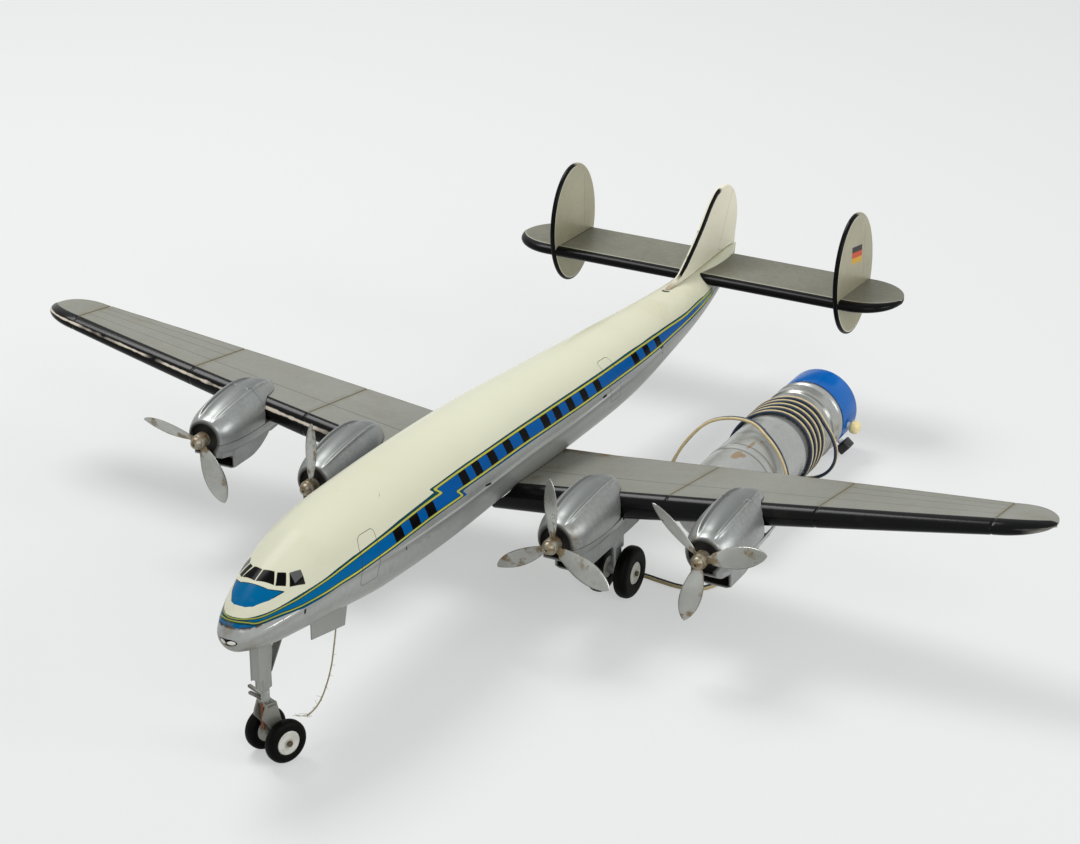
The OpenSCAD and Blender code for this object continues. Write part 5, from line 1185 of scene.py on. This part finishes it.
def prop_metal(name):
    g = Mat(name)
    ra = g.attr("rad")
    n1 = g.noise(85, 6, 0.68)
    n2 = g.noise(240, 3, 0.5)
    base = g.tones((182, 183, 178), (146, 146, 140), 0.35, 0.7, 50, 3)
    stain = g.step(n1 + g.step(ra, 14, 3) * 0.12, 0.55, 0.62)
    c = g.mix(stain * 0.85, base, lin(112, 90, 50))
    c = g.mix(g.step(n1, 0.68, 0.76) * 0.7, c, lin(66, 50, 30))
    c = g.mix(g.step(n2, 0.64, 0.74) * 0.2, c, lin(74, 68, 54))
    g.bump(n2, 0.05)
    return g.finish(c, g.mixf(stain, 0.26, 0.55), g.mixf(stain, 0.75, 0.3))


def hub_metal(name):
    g = Mat(name)
    n1 = g.noise(210, 5, 0.66)
    c = g.mix(g.step(n1, 0.42, 0.62), lin(150, 144, 128), lin(106, 84, 52))
    c = g.mix(g.step(n1, 0.62, 0.72) * 0.8, c, lin(58, 44, 28))
    g.bump(n1, 0.25)
    return g.finish(c, 0.42, 0.7)


M["prop"] = prop_metal("tinplate_blades")
M["hub"] = hub_metal("steel_hub")
HUB = [(0, 0.9), (0.55, 0.9), (0.6, 0.25), (0.75, 0.08)]
HUB += [(2.9 * math.sin(t), 2.9 * (1 - math.cos(t))) for t in np.linspace(0.3, PI / 2, 14)]
HUB += [(3.2, 3.1), (3.42, 3.25), (3.5, 3.5), (3.5, 3.9), (3.38, 4.0), (3.38, 4.15), (3.5, 4.25),
        (3.5, 7.6), (3.38, 7.7), (3.38, 7.85), (3.5, 7.95), (3.5, 8.6), (3.35, 8.9), (3.1, 9.0), (0.8, 9.0)]


def blade_face(angle, sign):
    """Points of one face of a blade from its root at the hub, row by row, and their radii"""
    A = math.radians(angle)
    out, turn = np.array([math.cos(A), 0, math.sin(A)]), np.array([-math.sin(A), 0, math.cos(A)])
    across = turn * math.cos(PITCH) + np.array([0, 1, 0]) * math.sin(PITCH)
    face = np.cross(out, across)
    points, radii = [], []
    for u in 1 - (1 - np.linspace(0, 1, BLADE_ROWS)) ** 1.4:
        r = 2.65 + 28.35 * u
        half = max(1.6 if u < 0.12 else 0.02, float(blade_half(min(u, 0.9999))) if u > 0.08 else 1.6)
        for v in np.linspace(-1, 1, BLADE_COLS):
            camber = 0.35 * (1 - v * v) * min(1, u * 4) * (1 - u * 0.5)
            thick = 0.22 * math.sqrt(max(0, 1 - v ** 4)) * sign
            points.append(out * r + across * v * half - face * (thick - camber + 0.15))
            radii.append(r)
    return points, radii


for name, (angle, kept) in PROPS.items():
    word, kind = name.split("_")
    ex, es, ez = dict(map(reversed, SIDES))[word] * ENG[kind][0], *ENG[kind][1:3]
    V, F, radii = [], [], []
    for k in kept:
        for sign in (1, -1):
            F += [tuple(f) for f in grid_faces(BLADE_ROWS, BLADE_COLS, len(V), flip=sign < 0)]
            points, r = blade_face(angle + 120 * k, sign)
            V += points
            radii += r
    V = np.array(V) + [ex, ys(es + 5.8), ez]
    ob = mend(make_mesh(name + "_blades", V, F, M["prop"], {"rad": radii}, sharp=60), 2e-6)
    dress(ob, name + "_propeller", "tinplate", name + "_prop_blades")
    ob = lathe(name + "_hub_dome", HUB, (ex, ys(es), ez), (0, 1, 0), M["hub"], 72)
    dress(ob, name + "_propeller", "tinplate", name + "_prop_hub")

# Tail
# tailplane: trailing edge, chord, half span, round tip, round edge, height, thickness
T_TE, T_CH, T_HALF, T_TIP, T_BAND, T_Z, T_TH = OL - 12.4, 41.0, 105.4, 22.0, 4.0, 68.0, 5.2
T_LE = T_TE - T_CH
# fins: x of the oval ones, thickness, length, height, middle over the tailplane
FIN_X, FIN_T, FIN_L, FIN_H, FIN_UP = 78.4, 2.4, 47.5, 63.0, 10.0
FIN_MID = (T_LE + T_TE) / 2 + 1.5


def tail_section(x, first, inset):
    """From the trailing edge over the top, round the leading edge and back below"""
    xx = x if first or not inset else x * (1 - 2 * TIN / T_HALF)
    f = 1.0 if xx <= T_HALF - T_TIP else math.sqrt(max(0.006, 1 - ((xx - T_HALF + T_TIP) / T_TIP) ** 2))
    mid = (T_LE + T_TE) / 2
    front, rear = mid - T_CH / 2 * f, mid + T_CH / 2 * f
    band = min(T_BAND, 0.4 * (rear - front))
    a, half, last = front + band, max(2 * TIN + 0.8, T_TH * math.sqrt(f)) / 2 - inset, TIN + 0.3 - inset
    g = np.linspace(1, 0.04, 26)
    flat, rise = (rear - a) * g, half + (last - half) * g
    th = np.radians(90 - 180 * np.arange(25) / 24)
    s = np.concatenate([a + flat, a - (band - inset) * np.cos(th), (a + flat)[::-1]])
    z = np.concatenate([rise, half * np.sin(th), -rise[::-1]]) + T_Z
    xs = np.maximum(FIN_T / 2, half_w(s, z)) + FG if first else np.full(s.shape, xx)
    return xs, s, z, dict(wx=xs, arc=np.concatenate([-flat, (PI / 2 - th) * (half + band) / 2,
                                                     6.5 + flat[::-1]]))


def tail_paint(name):
    g = Mat(name)
    arc, wx = g.attr("arc"), g.attr("wx")
    c = g.tones((126, 126, 113), (108, 106, 92), 0.3, 0.7, 14, 4, 0.6)
    c = g.blot(c, (104, 92, 62), 0.35, 0.55, 0.78, 60, 5, 0.65)
    c = g.blot(c, (196, 194, 182), 0.1, 0.4, 0.8, 420, 3)
    root = g.step(wx - (FIN_X - 1.9), 0.5, 0.1) * g.step(wx - (FIN_X - 1.9), -0.5, -0.1)
    c = g.mix(root * 0.8, c, lin(52, 46, 32))
    # a pale line along the top of the leading edge: painted highlight
    c = g.mix(g.line(arc + 0.75, 0.32, 0.12) * 0.8, c, lin(206, 202, 184))
    b = g.step(arc, -0.35, -0.15) * g.step(arc, 9.5, 8.5)
    # a broken pale line near the top of the black edge: painted highlight and wear
    worn_and_lit = g.cloud(0.66, 0.74, 150, 4, 0.65) * g.step((arc - 0.6).abs(), 0.9, 0.3)
    c = g.mix(b, c, g.mix(worn_and_lit * 0.5, BLACK, lin(150, 140, 116)))
    g.bump(g.noise(800, 2, 0.5), 0.05)
    c = g.mix(g.attr("inside"), c, lin(110, 104, 84))
    return g.finish(c, g.mixf(b, 0.4, 0.24), (1 - b) * 0.35, 0.08)


def fin_paint(name, bars):
    g = Mat(name)
    x, y, z = [v * 1000 for v in g.xyz()]
    rim, fore = g.attr("rim"), g.attr("fore")
    c = g.tones((172, 169, 146), (146, 142, 116), 0.3, 0.7, 14, 4, 0.6)
    c = g.blot(c, (112, 100, 70), 0.35, 0.55, 0.78, 60, 5, 0.65)
    c = g.blot(c, (206, 204, 194), 0.1, 0.4, 0.8, 420, 3)
    c = g.mix(g.line(y - 216, 0.14, 0.06) * g.step(z, 71.5, 71.8) * g.step(z, 101, 100) * 0.5, c,
              lin(60, 58, 48))
    if bars:
        # three printed bars
        low = (y - 199.9) * -0.17
        box = g.step(y, 199.8, 200.0) * g.step(y, 213.2, 213.0) * g.step(x, FIN_X, FIN_X + 0.2)
        v = z - low
        box = box * g.step(v, 84.3, 84.5) * g.step(v, 93.5, 93.3)
        tone = g.mix(g.step(v, 87.3, 87.5), lin(206, 160, 44), lin(196, 74, 34))
        tone = g.mix(g.step(v, 90.3, 90.5), tone, lin(34, 32, 34))
        c = g.mix(box * g.cloud(0.75, 0.6, 160, 4, 0.6), c, tone)
    black = g.step(rim, 0.62, 0.48) * g.step(fore, -0.25, -0.1)
    # a pale line just inside the rolled front edge: painted highlight
    c = g.mix(g.line(rim - 0.86, 0.2, 0.1) * g.step(fore, -0.25, -0.1) * 0.8, c, lin(214, 212, 196))
    c = g.mix(black, c, BLACK)
    g.bump(g.noise(800, 2, 0.5), 0.05)
    return g.finish(c, g.mixf(black, 0.36, 0.24), (1 - black) * 0.35, 0.08)


def plate(name, outline, x, thick, mat, attrs, room=None):
    """An upright plate across X from an outline (y, z) with rolled edges; attrs(y, z) gives its marks"""
    P = np.array(outline, float)
    d = np.roll(P, -1, 0) - np.roll(P, 1, 0)
    n = np.stack([-d[:, 1], d[:, 0]], 1)
    n /= np.linalg.norm(n, axis=1)[:, None]
    half, edge = thick / 2, 0.9
    room = np.full(len(P), 9.0) if room is None else room
    prof = [(edge * (1 - math.cos(q)), half * math.sin(q), edge * (math.sin(q) - 1))
            for q in np.linspace(0, PI / 2, 7)]
    prof += [(edge + 0.5, half, 0.5), (edge + 1.2, half, 1.2)]
    rows = [(e, -w, r) for e, w, r in prof[::-1]] + prof[1:]
    V = np.concatenate([np.column_stack([np.full(len(P), w), P + n * np.minimum(e, room)[:, None]])
                        for e, w, _ in rows])
    at = dict(rim=np.repeat([r + edge * 0.3 for _, _, r in rows], len(P)), **attrs(V[:, 1], V[:, 2]))
    return mend(make_mesh(name, V + [x, 0, 0], tube_faces(len(rows), len(P)), mat, at, sharp=50))


def oval_marks(y, z):
    return dict(fore=-(y - ys(FIN_MID)) / FIN_L * 2 - 0.25 * (z - T_Z - FIN_UP) / FIN_H)


M["tail"] = tail_paint("grey_tin_tail")
tail_rows = [12.0, *np.linspace(30, T_HALF - T_TIP, 30),
             *(T_HALF - T_TIP + T_TIP * np.sin(np.linspace(0.06, PI / 2, 26)))]
t = np.linspace(0, 2 * PI, 120, endpoint=False)
oval = np.column_stack([ys(FIN_MID) + FIN_L / 2 * np.cos(t), T_Z + FIN_UP + FIN_H / 2 * np.sin(t)])
for side, word in SIDES:
    ob = skin(word + "_tail_tin", side, M["tail"], tail_rows, tail_section, 35)
    dress(ob, "airliner", "grey_tin", word + "_tailplane")
    ob = plate(word + "_oval_fin", oval, side * FIN_X, FIN_T, fin_paint(f"grey_tin_{word}_fin", side > 0),
               oval_marks)
    dress(ob, "airliner", "grey_tin", word + "_fin")

# the centre fin's outline: share of its length, share of its height
FIN_EDGE = [(0, 0.0086), (0.0988, 0.0571), (0.1728, 0.1029), (0.321, 0.3286), (0.4691, 0.5857),
            (0.5926, 0.8429), (0.679, 0.9714), (0.7531, 1), (0.8272, 0.9914), (0.9012, 0.92),
            (0.963, 0.7714), (0.9963, 0.5714), (1, 0.3714), (0.9815, 0.1429), (0.9691, -0.029)]
FIN_LONG, FIN_TOP = 81.0, 106.5
FIN_S = OL - FIN_LONG
FIN_FOOT = b_top(FIN_S)


def centre_outline():
    e = [(ys(FIN_S + p * FIN_LONG), FIN_FOOT + q * (FIN_TOP - FIN_FOOT)) for p, q in FIN_EDGE]
    along_foot = np.linspace(OL - 0.031 * FIN_LONG, FIN_S + 1, 24)
    low = [(ys(v), min(b_top(v) + FG, FIN_FOOT + 0.2)) for v in along_foot]
    return np.concatenate([e[:3], catmull(e[2:], 6)[1:], low])[::-1]


def centre_paint(name):
    g = Mat(name)
    x, y, z = [v * 1000 for v in g.xyz()]
    rim, fore = g.attr("rim"), g.attr("fore")
    c = g.mix(g.cloud(0.3, 0.7, 14, 4), CREAM, lin(226, 221, 200))
    c = g.blot(c, (206, 194, 152), 0.35, 0.56, 0.76, 50, 5, 0.66)
    up = y - 213.3 - (z - 73.6) * 0.593
    c = g.mix(g.line(up, 0.13, 0.06) * g.step(z, 73.4, 73.7) * g.step(z, 102, 101) * 0.7, c,
              lin(96, 92, 78))
    c = g.mix(g.line(z - 73.6 + (y - 213.3) * 0.25, 0.13, 0.06) * g.step(y, 213.2, 213.4)
              * g.step(y, 227, 226) * 0.6, c, lin(96, 92, 78))
    black = g.step(rim, 1.42, 1.3) * g.step(x, -0.1, 0.1) * fore
    c = g.mix(black, c, BLACK)
    rust = g.cloud(0.57, 0.66, 130, 5, 0.7) * g.step(rim, 0.6, 0.2) * g.step(x, 0.3, -0.1) * fore
    c = g.mix(rust * 0.8, c, lin(112, 70, 36))
    foot = g.step(z, 78, 72.5) * g.step(y, 168, 158) * g.cloud(0.4, 0.6, 90, 4)
    c = g.mix(foot * 0.6, c, lin(120, 84, 48))
    g.bump(g.noise(600, 2), 0.03)
    return g.finish(c, g.mixf(black, 0.24, 0.22), 0.0, 0.08)


fin_line = centre_outline()
fin_s = fin_line[:, 0] + OL / 2
foot_z = np.minimum(b_c(fin_s) + b_r(fin_s) + FG, FIN_FOOT + 0.2)
feet = np.column_stack([fin_s, foot_z])[np.argsort(fin_s)]
rise = np.array(FIN_EDGE[:13])
room = np.maximum(0.02, np.interp(fin_s, FIN_S + rise[:, 0] * FIN_LONG, rise[:, 1]) * (FIN_TOP - 71.4)
                  * 0.3)


def centre_marks(y, z):
    ahead = np.clip((ys(FIN_S + 60) + (z - 100) * 0.1 - y) / 2.0, 0, 1)
    return dict(fore=ahead * np.clip((z - np.interp(y + OL / 2, feet[:, 0], feet[:, 1]) - 2.0) / 0.5, 0, 1))


ob = plate("centre_fin_tin", fin_line, 0, FIN_T, centre_paint("cream_tin_fin"), centre_marks,
           room=np.where(fin_line[:, 1] < foot_z + 0.3, 0.02, room))
dress(ob, "airliner", "cream_tin", "centre_fin")
SLOT_S = 390.4      # the slot in front of its foot
# a thin dark disc on the body over the slot: painted shade in its opening
ob = lathe("fin_foot_slot_shade", [(0, 0.02), (1.9, 0.02), (2.0, 0)], (0, ys(SLOT_S), b_top(SLOT_S) + 0.06),
           (0, 0.28, 1), M["dark"], 24)
dress(ob, "airliner", "dark_tin")


# Wheels
def rubber(name):
    g = Mat(name)
    n = g.noise(260, 4, 0.6)
    c = g.mix(g.step(n, 0.4, 0.75), lin(6, 6, 5), lin(13, 12, 11))
    dust = g.cloud(0.6, 0.8, 90, 5, 0.7)
    c = g.mix(dust * 0.16, c, lin(62, 56, 46))
    g.bump(n, 0.12)
    return g.finish(c, g.mixf(dust, 0.5, 0.75), 0.0, 0.06)


def hub_paint(name):
    g = Mat(name)
    pr = g.attr("pr")
    c = g.tones((206, 206, 198), (176, 176, 166), 0.35, 0.7, 160, 5, 0.65)
    c = g.blot(c, (120, 108, 84), 0.4, 0.6, 0.72, 240, 5, 0.7)
    c = g.mix(g.step(pr, 2.5, 1.5) * 0.55, c, lin(112, 92, 64))
    g.bump(g.noise(500, 3), 0.06)
    return g.finish(c, 0.42, 0.1, 0.35)


M["rubber"] = rubber("tyre_rubber")
M["hubwhite"] = hub_paint("hub_white")
# the fork: angle it is turned by, place of its leg, trail and radius of its wheels
STEER, LEG_Y, TRAIL, NR = math.radians(-22), ys(25), 4.0, 9.3
NOSE_AXLE = (math.cos(STEER), math.sin(STEER), 0)


def steered(p):
    x, y, z = p
    return np.array([x * math.cos(STEER) - y * math.sin(STEER),
                     LEG_Y + x * math.sin(STEER) + y * math.cos(STEER), z])


def wheel_pair(word, middle, across, track, d, w, hub, body, nodes):
    """Two tyres and their hub discs on one axle"""
    tyres, discs = [], []
    for k in (-1, 1):
        o = np.array(middle) + np.array(across) * k * track / 2
        rd = w * 0.42
        prof = [(hub, -w / 2 + 0.5), (hub + 0.25, -w / 2 + 0.1), (hub + 0.6, -w / 2)]
        prof += [(d / 2 - rd + rd * math.cos(a), -w / 2 + rd + rd * math.sin(a))
                 for a in np.linspace(-PI / 2, 0, 14)]
        prof += [(r, -h) for r, h in prof[::-1]]
        tyres.append(lathe("t", prof, o, across, M["rubber"], 96, sharp=60))
        e = (w - 0.6) / 2
        face = [(1.0, e + 0.2), (1.6, e + 0.2), (1.8, e + 0.05), (2.4, e - 0.12), (hub - 1.2, e - 0.12),
                (hub - 0.6, e + 0.02), (hub - 0.2, e - 0.05), (hub - 0.03, e - 0.3)]
        discs.append(lathe("h", face + [(r, -h) for r, h in face[::-1]], o, across, M["hubwhite"], 72,
                           sharp=60))
    for obs, name, node, slot in ((tyres, word + "_tyre_pair", nodes[0], "tyre_rubber"),
                                  (discs, word + "_hub_pair", nodes[1], "hub_white")):
        dress(merge(obs, name), body, slot, node)


MAIN_S, MAIN_R = 216.4, 12.0
wheel_pair("nose", steered((0, TRAIL, NR)), NOSE_AXLE, 14.0, 18.6, 5.4, 5.3, "nose_wheels",
           ("nose_tyres", "nose_hub_discs"))
for side, word in SIDES:
    wheel_pair(word + "_main", (side * ENG["inner"][0], ys(MAIN_S), MAIN_R), (1, 0, 0), 13.4, 2 * MAIN_R,
               6.6, 5.2, word + "_main_wheels", (word + "_main_tyres", word + "_main_hub_discs"))

# Nose gear
HOUSE_LOW, SLEEVE, FORK = 38.0, 32.5, 26.4      # lowest points of the housing and sleeve, top of the fork
M["leg"] = silver_paint("silver_tin_leg", base=lin(150, 151, 146), dirt=0.7, rough=0.34, metal=0.5)
M["fork"] = silver_paint("silver_tin_fork", base=lin(124, 124, 116), dirt=0.9, rough=0.36, metal=0.5)
M["lever"] = worn_metal("dark_steel_lever", lin(112, 112, 106), lin(70, 62, 46), 0.5, 0.45, 0.8, 200)
M["strip"] = worn_metal("rusty_strip", lin(112, 62, 34), lin(74, 42, 24), 0.6, 0.6, 0.3, 220)


def on_leg(p):
    return np.array([p[0], p[1] + LEG_Y, p[2]])


top = float(b_c(25)) - 4
cheek = [(-3.6, SLEEVE), (1.9, SLEEVE), (1.9, HOUSE_LOW + 2), (3.0, HOUSE_LOW + 9), (3.0, top), (-6.6, top),
         (-6.6, HOUSE_LOW), (-3.6, HOUSE_LOW)]
obs = [side_plate("cheek", cheek, x, x + 0.5, M["leg"], on_leg, 0.12) for x in (-2.2, 1.7)]
# front wall, folded between the two cheeks, and the sleeve behind it
obs.append(box_piece("wall", (-1.75, LEG_Y - 6.45, HOUSE_LOW + 0.3), (1.75, LEG_Y - 5.9, top), M["leg"],
                     0.15))
obs.append(box_piece("sleeve", (-1.75, LEG_Y - 3.5, SLEEVE + 0.2), (1.75, LEG_Y + 1.7, HOUSE_LOW + 12),
                     M["leg"], 0.2))
dress(merge(obs, "nose_leg_tin"), "airliner", "silver_tin", "nose_leg_housing")


def fork_pieces():
    """The steerable fork with its pivot, its spring strip, the two prongs of its lever and the washers"""
    arm = [(-2, FORK), (-3.7, FORK - 4.6), (-4, FORK - 6.5), (TRAIL - 5.2, NR + 7), (TRAIL - 2.6, NR + 2),
           (TRAIL - 1.5, NR - 2.2), (TRAIL + 1.5, NR - 2.2), (TRAIL + 2.3, NR), (TRAIL + 1.4, NR + 6),
           (3, FORK)]
    w = 7.2 / 2
    obs = [side_plate("a", arm, w - 1, w, M["fork"], steered, 0.25),
           side_plate("b", arm, -w, -w + 1, M["fork"], steered, 0.25)]
    obs.append(box_piece("c", (-w, -2, FORK - 2), (w, 3, FORK), M["fork"], 0.4, steered))
    obs.append(lathe("d", [(0, -0.5), (1.8, -0.5), (1.8, 4.6), (1.65, 4.8), (1.8, 5.0), (1.8, 5.8),
                           (1.1, 5.8), (1.1, 18)], steered((0, 0, FORK)), (0, 0, 1), M["leg"], 48,
                     sharp=50))
    obs.append(box_piece("e", (-1.1, -2.05, FORK - 12.6), (1.1, -1.2, FORK - 0.4), M["strip"], 0.15,
                         steered))
    obs.append(box_piece("f", (-11.2, -0.9, FORK + 1.3), (0.3, 0.6, FORK + 2.5), M["lever"], 0.2, steered))
    tilt = math.radians(-7.5)

    def leaning(p):
        return steered((p[0] * math.cos(tilt) + p[2] * math.sin(tilt), p[1],
                        FORK + 0.1 - p[0] * math.sin(tilt) + p[2] * math.cos(tilt)))
    obs.append(box_piece("g", (-10.2, -1.4, 0), (0.8, 0.1, 1.2), M["lever"], 0.2, leaning))
    # washers on the axle inside the fork
    for k in (-1, 1):
        obs.append(lathe("w", [(1.0, 0), (1.9, 0), (2.0, 0.15), (1.9, 0.35), (1.0, 0.35)],
                         steered((k * (w + 0.05) - (0.35 if k < 0 else 0), TRAIL, NR)), NOSE_AXLE,
                         M["lever"], 32))
    dress(merge(obs, "nose_fork_tin"), "nose_steering", "silver_tin", "nose_fork")


fork_pieces()

# String
STRING = [(6.5, 68, 52), (6.5, 68, 46), (7, 67.4, 40), (8, 64, 33.5), (8.3, 61.5, 27), (8, 58.6, 20.5),
          (7.5, 54.5, 14.6), (7, 49.8, 11.6), (6.2, 45, 10.6)]
SP = catmull([(x, ys(s), z) for x, s, z in STRING], 14)
string = sweep("loose_string", SP, *sides_of(SP, np.tile([1.0, 0, 0], (len(SP), 1))), M["string"], 0.34, 8)
rng = np.random.default_rng(11)
strands = []
for k in range(26):
    i = int(rng.integers(40, len(SP) - 1)) if k < 14 else len(SP) - 1 - int(rng.integers(0, 5))
    d = rng.normal(size=3) * [0.8, 1.0, 0.8]
    d[2] = abs(d[2]) * (0.4 if k < 14 else 0.2)
    reach = 1.2 + 1.6 * rng.random()
    if k > 20:
        d = np.array([-0.5, -1.0, 0.35]) + rng.normal(size=3) * 0.25
        reach = 5 + 3 * rng.random()
    d = d / np.linalg.norm(d) * reach
    bend = rng.normal(size=3) * 0.35
    line = np.array([SP[i] + d * t + bend * math.sin(PI * t) for t in np.linspace(0, 1, 6)])
    strands.append(sweep("fibre", line, *sides_of(line, np.tile([0.3, 0.2, 1.0], (6, 1))), M["string"],
                         0.07, 4))
frays = merge(strands, "string_frays")
dress(frays, "airliner", "string")
dress(string, "airliner", "string", "drive_string")
tuple(np.array([6.5, ys(68), 46]) * MM)

# Handset
# stains: height, angle, half sizes
STAINS = [(26, 82, 5.0, 2.2), (27.5, 74, 2.0, 1.4), (39, 77.7, 5.5, 0.9), (58, 83, 1.5, 0.7),
          (46, 70, 1.2, 0.6)]


def handset_paint(name):
    g = Mat(name)
    ph, pa = g.attr("ph"), g.attr("pa")
    c = g.tones((176, 177, 174), (150, 151, 147), 0.3, 0.72, 22, 4, 0.6)
    c = g.blot(c, (216, 218, 216), 0.12, 0.4, 0.8, 480, 3)
    for h, a, dh, da in STAINS:
        u = (ph - h) / dh
        v = (pa - 360 + a) * (18 * PI / 180) / da
        r = g.m("SQRT", u * u + v * v) + g.noise(300, 4, 0.7) * 0.9
        c = g.mix(g.step(r, 1.45, 1.2) * 0.75, c, lin(150, 118, 72))
    grime = g.cloud(0.6, 0.76, 90, 5, 0.7) * g.step(ph, 118, 100) * 0.3
    c = g.mix(grime, c, lin(116, 98, 62))
    # painted shade: dark lines in the creases at the raised rings' edges
    for edge in (104.2, 117.0, 31.6, 37.4):
        c = g.mix(g.line(ph - edge, 0.5, 0.3) * 0.6, c, lin(74, 72, 62))
    g.bump(g.noise(900, 2, 0.5), 0.04)
    return g.finish(c, 0.27, 0.6, 0.5)


M["handset_tube"] = handset_paint("handset_silver")
g = Mat("blue_tin")
c = g.tones((0, 96, 176), (0, 84, 160), 0.3, 0.7, 40, 4)
c = g.mix(g.step(g.cells(160), 0.06, 0.03) * 0.5, c, lin(120, 130, 134))
g.bump(g.noise(700, 2), 0.03)
M["blue_tin"] = g.finish(c, 0.2, 0.0, 0.35)

# raised rings of the tube: middle, half width, height
RINGS = [(34.5, 3.2, 0.42), (71.5, 3.2, 0.35), (105.4, 2.6, 0.85), (115.2, 2.6, 0.8)]


def swell(h, centre, half, high):
    """A raised ring of the tube"""
    return high * math.cos(min(1, abs(h - centre) / half) * PI / 2) ** 2


def tube_profile():
    prof = [(0, 0), (10, 0), (HR - 3, 0)] + [(HR - 3 + 3 * math.sin(a), 3 - 3 * math.cos(a))
                                             for a in np.linspace(0.2, PI / 2, 9)]
    for h in np.unique(np.concatenate([np.linspace(3.5, 131, 130), np.linspace(102, 119, 60),
                                       np.linspace(31, 38, 30), np.linspace(68, 75, 24)])):
        r = HR + sum(swell(h, *ring) for ring in RINGS)
        r += 0.22 * max(0, min(1, (h - 103) / 3)) * max(0, min(1, (118 - h) / 3))
        prof.append((r, h))
    return prof + [(HR - 0.5, 131), (HR - 0.5, 4), (HR - 3, 0.5), (0, 0.5)]


tube = lathe("handset_tin_tube", tube_profile(), (HX, FRONT, HZ), (0, 1, 0), M["handset_tube"], 128,
             side=(1, 0, 0), sharp=50)
dress(tube, "airliner", "handset_silver", "handset_tube")
CR = 18.56      # radius of the cap
CAP_IN, CAP_LONG = 18.06, 18
cap_prof = [(CAP_IN, HL - CAP_LONG), (CR - 0.1, HL - CAP_LONG), (CR, HL - CAP_LONG + 0.2), (CR, HL - 1.9)]
cap_prof += [(CR - 1.6 + 1.6 * math.cos(a), HL - 1.6 + 1.6 * math.sin(a))
             for a in np.linspace(0, PI / 2, 8)]
cap_prof += [(15, HL), (14.6, HL - 0.35), (0, HL - 0.35), (0, HL - 0.6), (16, HL - 0.6), (CAP_IN, HL - 2.2),
             (CAP_IN, HL - CAP_LONG)]
cap = lathe("blue_cap_tin", cap_prof, (HX, FRONT, HZ), (0, 1, 0), M["blue_tin"], 128, side=(1, 0, 0),
            sharp=50)
dress(cap, "battery_cap", "blue_tin", "handset_cap")


def button(word, angle, slot, square):
    """A button that stands out of the cap at an angle, on its stem"""
    a = math.radians(angle)
    out = np.array([math.cos(a), 0, math.sin(a)])
    seat = np.array([HX, FRONT + HL - 11.5, HZ])
    reach = CR + 1.5 + 0.5
    stem = lathe("st", [(0, 12), (1.5, 12), (1.5, reach - 0.1), (0, reach - 0.1)], seat, out,
                 M["white_plastic"], 32)
    if square:
        flat = np.array([-math.sin(a), 0, math.cos(a)])
        place = lambda p: seat + out * (reach - 0.2 + p[2]) + np.array([0, 1, 0]) * p[0] + flat * p[1]
        head = box_piece("hd", (-3.3, -3.3, 0), (3.3, 3.3, 4.8), M[slot], 0.7, place)
    else:
        prof = [(0, -0.2), (2.6, -0.2), (3.0, 0), (3.35, 0.7), (3.4, 1.6), (3.3, 2.6), (2.9, 3.5),
                (2.2, 4.1), (1.2, 4.38), (0, 4.4)]
        head = lathe("hd", prof, seat + out * reach, out, M[slot], 48, sharp=70)
    dress(merge([head, stem], word + "_button_cap"), word + "_push", slot, word + "_button")


button("forward", -10, "cream_plastic", False)
button("reverse", -41, "black_plastic", True)

# Carried CAD nodes
CAD_MATS = {"silver_tin": "silver", "grey_tin": "olive", "cream_tin": "cream_plain", "tinplate": "tin",
            "steel_wire": "steel", "dark_tin": "dark", "rusty_steel": "rust", "tyre_rubber": "rubber",
            "hub_white": "hubwhite", "motor_steel": "steel", "string": "string",
            "handset_silver": "silver_handset", "blue_tin": "blue_tin", "cell_jacket": "jacket",
            "fibre_board": "fibre", "cream_plastic": "cream_plastic", "black_plastic": "black_plastic",
            "cable_sheath": "cable_cream"}
CAD_LOOKS = {"nose_leg_brace": "lever", "nose_gear_doors": "leg"}
M["cream_plain"] = plain_paint("cream_enamel", CREAM, 0.22, 0.05)
for sp in frame["record"]["subparts"]:
    ob = frame["nodes"][sp["node"]]
    ob.data.materials.clear()
    ob.data.materials.append(M[CAD_LOOKS.get(sp["node"], CAD_MATS[sp["material_slot"]])])
